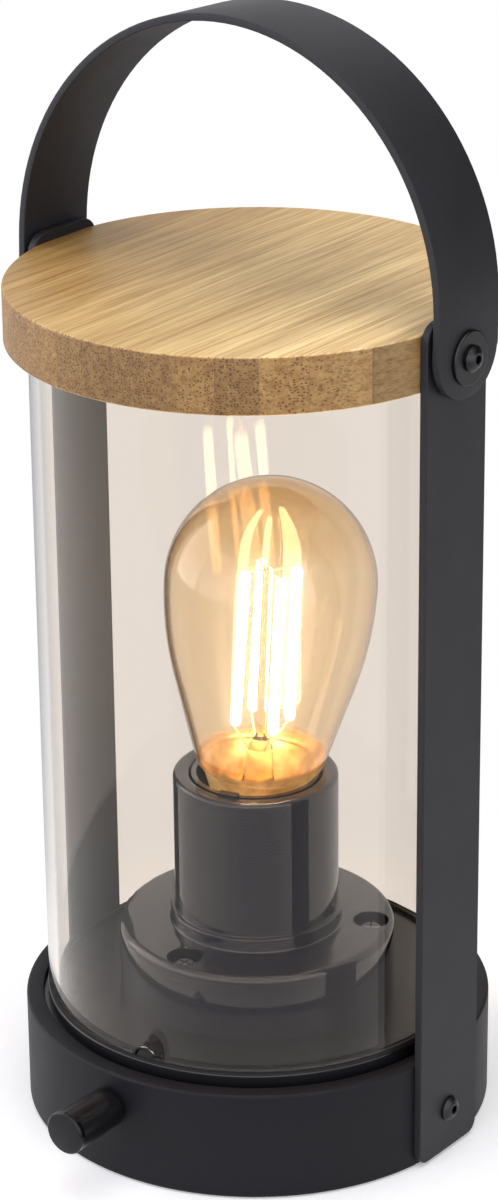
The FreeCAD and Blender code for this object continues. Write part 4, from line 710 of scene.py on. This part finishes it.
# ---------------------------------------------------------------- clear tube and seals
# A thick clear tube with polished ends. A half-round notch in its lower edge fits the
# key of the black seal that it stands on; a clear silicone seal sits in the lid's groove.
TUBE_RADIUS, TUBE_BORE, TUBE_FOOT, TUBE_TOP, TUBE_EDGE = 65, 62, 38.8, 250.7, 0.3
NOTCH, NOTCH_REACH = math.radians(-84), 3.0
SEATED_HEIGHT, KEY_REACH = 39.35, 3.7


def seated_edge_painted_shade(tree, coords):
    """Where the tube sits in its seal, painted black as shade over the glass's glints: below the seal's
    rim, and round the key in the notch.
    """
    height = add_node(tree, "SeparateXYZ", {0: coords}).outputs["Z"]
    key = [c * MM for c in (TUBE_RADIUS * math.cos(NOTCH), TUBE_RADIUS * math.sin(NOTCH), TUBE_FOOT)]
    from_key = add_node(tree, "VectorMath", {0: coords, 1: key}, operation="DISTANCE")
    at_key = add_node(tree, "Math", {0: from_key.outputs["Value"], 1: KEY_REACH * MM},
                      operation="LESS_THAN")
    low = add_node(tree, "Math", {0: height, 1: SEATED_HEIGHT * MM}, operation="LESS_THAN")
    seat_shade_mask = add_node(tree, "Math", {0: low.outputs[0], 1: at_key.outputs[0]}, operation="MAXIMUM")
    return seat_shade_mask.outputs[0]


def notch_lift(height, reach):
    """The height of an edge that is lifted in a half circle over the notch's middle."""
    def at(angle):
        along = angle_from(NOTCH, angle) * TUBE_RADIUS
        return height + math.sqrt(max(reach * reach - along * along, 0))
    return at


notch_angles = sorted(even_turns(192) + [
    (NOTCH + NOTCH_REACH / TUBE_RADIUS * math.sin(math.pi / 2 * step / 12)) % (2 * math.pi)
    for step in range(-12, 13)])
bevelled = notch_lift(TUBE_FOOT + TUBE_EDGE, NOTCH_REACH - 0.1)
lowest = notch_lift(TUBE_FOOT, NOTCH_REACH)
tube_outline = [
    (TUBE_BORE, bevelled), (TUBE_BORE + TUBE_EDGE, lowest),
    (TUBE_RADIUS - TUBE_EDGE, lowest), (TUBE_RADIUS, bevelled),
    (TUBE_RADIUS, TUBE_TOP - TUBE_EDGE), (TUBE_RADIUS - TUBE_EDGE, TUBE_TOP),
    (TUBE_BORE + TUBE_EDGE, TUBE_TOP), (TUBE_BORE, TUBE_TOP - TUBE_EDGE)]
# the tube's foot and notch are painted black as shade, partly where the dark seal lies behind them
lathe("tube", tube_outline, clear("clear_tube", "#F2ECE6", 1.34, "#F3EFEC", seated_edge_painted_shade), "lantern",
      ["glass_tube"], notch_angles)
dress(black_plastic, "tube_seal")
dress(clear("clear_silicone", "#E9E7E4", 1.41), "lid_seal")


# ---------------------------------------------------------------- bamboo lid
# Turned from a block of bamboo strips glued side by side, with a groove below for the
# tube: long fibres run along Y on top, and the rim shows their cut ends as dots. Clear
# matt lacquer. Brass inserts in its sides take the pivot bolts.
LID_RADIUS, LID_FOOT, LID_TOP = 72, 247.5, 264.5
GROOVE_OUT, GROOVE_IN, GROOVE_TOP = 65.5, 61.5, 251.5
STRIP_WIDTH, FIRST_STRIP = 9.85, -2.65


def bamboo():
    """Laminated bamboo: glued strips, each with its own tone, long fibres and end dots."""
    material, tree = new_tree("laminated_bamboo")
    coords = add_node(tree, "TexCoord").outputs["Object"]
    axes = add_node(tree, "SeparateXYZ", {0: coords})
    # strips across X, each with a random tone, and a dark glue line between them
    across = add_node(tree, "Math", {0: axes.outputs["X"], 1: cells(STRIP_WIDTH), 2: FIRST_STRIP},
                      operation="MULTIPLY_ADD")
    strip_id = add_node(tree, "Math", {0: across.outputs[0]}, operation="FLOOR")
    tone = add_node(tree, "TexWhiteNoise", {"W": strip_id.outputs[0]}, noise_dimensions="1D")
    inside = add_node(tree, "Math", {0: across.outputs[0]}, operation="FRACT")
    seam = add_node(tree, "ValToRGB", {"Fac": inside.outputs[0]},
                    stops=((0, (0.62, 0.62, 0.62, 1)), (0.035, WHITE)))
    # fibres two thirds of a millimetre wide and streaks of them, shifted from strip to strip
    shift = add_node(tree, "CombineXYZ", {axis: tone.outputs["Value"] for axis in "XYZ"})
    moved = add_node(tree, "VectorMath", {0: coords, 1: shift.outputs[0]}, operation="ADD")
    stretched = add_node(tree, "Mapping", {
        "Vector": moved.outputs[0], "Scale": [cells(size) for size in (0.66667, 29.41, 0.66667)]})
    fibre = add_node(tree, "TexNoise", {"Vector": stretched.outputs[0], "Scale": 1.0, "Detail": 6.0,
                                        "Roughness": 0.62})
    streaks = add_node(tree, "Mapping", {
        "Vector": moved.outputs[0], "Scale": [cells(size) for size in (2.3256, 111.1, 2.3256)]})
    streak = add_node(tree, "TexNoise", {"Vector": streaks.outputs[0], "Scale": 1.0, "Detail": 4.0})
    pale = add_node(tree, "ValToRGB", {"Fac": streak.outputs["Fac"]},
                    stops=((0.3, linear("#BC955A")), (0.68, linear("#E2C489"))))
    darker = add_node(tree, "ValToRGB", {"Fac": fibre.outputs["Fac"]},
                      stops=((0.36, (0.58, 0.5, 0.4, 1)), (0.54, WHITE)))
    wood = add_node(tree, "Mix", {"Factor": 0.8, "A": pale.outputs[0], "B": darker.outputs[0]},
                    data_type="RGBA", blend_type="MULTIPLY")
    strips = add_node(tree, "MapRange", {"Value": tone.outputs["Value"], "To Min": 0.9, "To Max": 1.1})
    toned = add_node(tree, "VectorMath", {0: wood.outputs["Result"], "Scale": strips.outputs[0]},
                     operation="SCALE")
    # end grain: bundles under a millimetre wide, as dots where the surface cuts the fibres
    cut = add_node(tree, "Mapping", {
        "Vector": moved.outputs[0], "Scale": [cells(size) for size in (0.86957, 16.667, 0.8)]})
    bundles = add_node(tree, "TexVoronoi", {"Vector": cut.outputs[0], "Scale": 1.0, "Randomness": 0.75})
    dots = add_node(tree, "ValToRGB", {"Fac": bundles.outputs["Distance"]},
                    stops=((0.24, (0.3, 0.2, 0.11, 1)), (0.36, (0.88, 0.8, 0.68, 1))))
    slant = add_node(tree, "SeparateXYZ", {0: add_node(tree, "NewGeometry").outputs["Normal"]})
    along_fibres = add_node(tree, "Math", {0: slant.outputs["Y"]}, operation="ABSOLUTE")
    ends = add_node(tree, "MapRange", {"Value": along_fibres.outputs[0], "From Min": 0.3, "From Max": 0.62})
    dotted = add_node(tree, "Mix", {"Factor": ends.outputs[0], "A": WHITE, "B": dots.outputs[0]},
                      data_type="RGBA")
    # the upright rim is painted a deeper brown than the flat top as painted shade, in tones that follow the
    # strips
    upright_face = add_node(tree, "Math", {0: slant.outputs["Z"]}, operation="ABSOLUTE")
    rim = add_node(tree, "MapRange", {"Value": upright_face.outputs[0], "From Min": 0.75, "From Max": 0.35})
    rim_shade_tone = add_node(tree, "ValToRGB", {"Fac": tone.outputs["Value"]},
                         stops=((0, (0.42, 0.37, 0.29, 1)), (1, (0.55, 0.5, 0.41, 1))))
    # painted shade and sheen across the board: darker at one side as painted shade, paler and bluer at the
    # other as a painted sheen
    over_board = add_node(tree, "MapRange", {"Value": axes.outputs["X"], "From Min": -62 * MM,
                                             "From Max": 62 * MM})
    board_painted_shade_and_sheen = add_node(tree, "ValToRGB", {"Fac": over_board.outputs[0]},
                    stops=((0, (0.57, 0.48, 0.33, 1)), (0.42, (1.0, 0.98, 0.94, 1)),
                           (1, (1.24, 1.29, 1.42, 1))))
    # the rim's painted shade laid over the board's painted shade and sheen
    rim_and_board_painted_light = add_node(tree, "Mix", {
        "Factor": rim.outputs[0], "A": board_painted_shade_and_sheen.outputs[0], "B": rim_shade_tone.outputs[0]}, data_type="RGBA")
    # the layers are laid over each other as shares of the colour beneath
    shown = toned.outputs[0]
    for strength, layer in ((1.0, dotted.outputs["Result"]), (1.0, rim_and_board_painted_light.outputs["Result"]),
                            (0.8, seam.outputs[0])):
        shown = add_node(tree, "Mix", {"Factor": strength, "A": shown, "B": layer},
                         data_type="RGBA", blend_type="MULTIPLY").outputs["Result"]
    bump = add_node(tree, "Bump", {"Height": fibre.outputs["Fac"], "Strength": 0.25, "Distance": 0.1 * MM})
    rough = add_node(tree, "MapRange", {"Value": streak.outputs["Fac"], "To Min": 0.42, "To Max": 0.58})
    close_tree(tree, add_node(tree, "BsdfPrincipled", {
        "Base Color": shown, "Roughness": rough.outputs[0], "Normal": bump.outputs[0]}))
    return material


lid_outline = rounded([
    (ON_AXIS, LID_TOP), (LID_RADIUS, LID_TOP, 0.8), (LID_RADIUS, LID_FOOT, 0.8), (GROOVE_OUT, LID_FOOT),
    (GROOVE_OUT, GROOVE_TOP), (GROOVE_IN, GROOVE_TOP), (GROOVE_IN, LID_FOOT), (ON_AXIS, LID_FOOT)])
lathe("lid", flatted(lid_outline), bamboo(), "lantern", ["bamboo_lid"], side_angles)
dress(brass, "lid_inserts")


# ---------------------------------------------------------------- uprights
# Two flat strips of coated steel with rounded corners and broken edges. They seat on the
# flats of lid and drum, and black socket screws hold them at the drum.
UPRIGHT_THICK, UPRIGHT_HALF, UPRIGHT_FOOT, UPRIGHT_TOP = 2.5, 14.5, 1.0, 267.5
FOOT_CORNER, TOP_CORNER, UPRIGHT_EDGE = 4.0, 6.0, 0.25

coat = powder_coat("anthracite_powder_coat", "#1F1F23")
for side, inner in (("right", FLAT_X), ("left", -FLAT_X - UPRIGHT_THICK)):
    outer = inner + UPRIGHT_THICK
    rings = [(x, y, z)
             for x, inset in ((inner, UPRIGHT_EDGE), (inner + UPRIGHT_EDGE, 0),
                              (outer - UPRIGHT_EDGE, 0), (outer, UPRIGHT_EDGE))
             for y, z in corner_outline(UPRIGHT_HALF - inset, UPRIGHT_FOOT + inset, UPRIGHT_TOP - inset,
                                        FOOT_CORNER - inset, TOP_CORNER - inset)]
    mesh_piece("upright_strip_" + side, rings, ring_faces(4, len(rings) // 4), coat, "lantern",
               ["upright_" + side], sharp=25)
dress(black_screw, "base_bolts")


# ---------------------------------------------------------------- handle
# A steel strap bent over in a half circle and coated like the uprights. Its edges are
# broken by a small round, and its ends are full rounds at the pivots, where it bears on
# plastic spacers under black washers and bolts. It rests leaning slightly back.
STRAP_IN, STRAP_OUT, STRAP_HALF, STRAP_EDGE = 74.35, 76.65, 14.5, 0.35
STRAP_END, PIVOT_HEIGHT, ARCH_HEIGHT = 243.3, 255.5, 266.3
END_ROUND, END_SHORT, TIP_HALF = 14.45, 0.05, 0.01
END_STEPS, ARCH_STEPS, EDGE_STEPS = 24, 60, 4
HANDLE_LEAN = math.radians(-2.5)


def strap_section(outward, height, half_width):
    """The points round a cut through the strap, with its four edges rounded."""
    reach = min(STRAP_EDGE, half_width * 0.5)
    section = []
    for first, side, middle in ((180, -1, STRAP_IN + STRAP_EDGE), (270, 1, STRAP_IN + STRAP_EDGE),
                                (0, 1, STRAP_OUT - STRAP_EDGE), (90, -1, STRAP_OUT - STRAP_EDGE)):
        for step in range(EDGE_STEPS + 1):
            angle = math.radians(first + 90 * step / EDGE_STEPS)
            radial = outward * (middle + STRAP_EDGE * math.sin(angle))
            across = side * (half_width - reach) + reach * math.cos(angle)
            section.append(radial + Vector((0, across, height)))
    return section


# the strap's height and half width from its rounded end up to the arch
leg = []
for step in range(END_STEPS + 1):
    rise = (END_ROUND - END_SHORT) * (1 - math.cos(math.pi / 2 * step / END_STEPS))
    half_width = math.sqrt(max(END_ROUND ** 2 - (END_ROUND - rise) ** 2, TIP_HALF ** 2))
    leg.append((STRAP_END + rise, half_width))
leg.append((ARCH_HEIGHT, STRAP_HALF))

strap = []
for height, half_width in leg:
    strap += strap_section(Vector((1, 0, 0)), height, half_width)
for step in range(1, ARCH_STEPS):
    turn = math.pi * step / ARCH_STEPS
    strap += strap_section(Vector((math.cos(turn), 0, math.sin(turn))), ARCH_HEIGHT, STRAP_HALF)
for height, half_width in reversed(leg):
    strap += strap_section(Vector((-1, 0, 0)), height, half_width)
section_points = 4 * (EDGE_STEPS + 1)
leaning = turn_about((0, 0, PIVOT_HEIGHT), HANDLE_LEAN, "X")
mesh_piece("handle", [leaning @ point for point in strap],
           ring_faces(len(strap) // section_points, section_points), coat, "handle",
           ["handle_strap"], sharp=40)
dress(black_plastic, "pivot_spacers")
dress(black_screw, "pivot_bolts", "pivot_washers")


# ---------------------------------------------------------------- end
scene = bpy.context.scene
scene.view_settings.view_transform = "Standard"
bpy.context.view_layer.update()
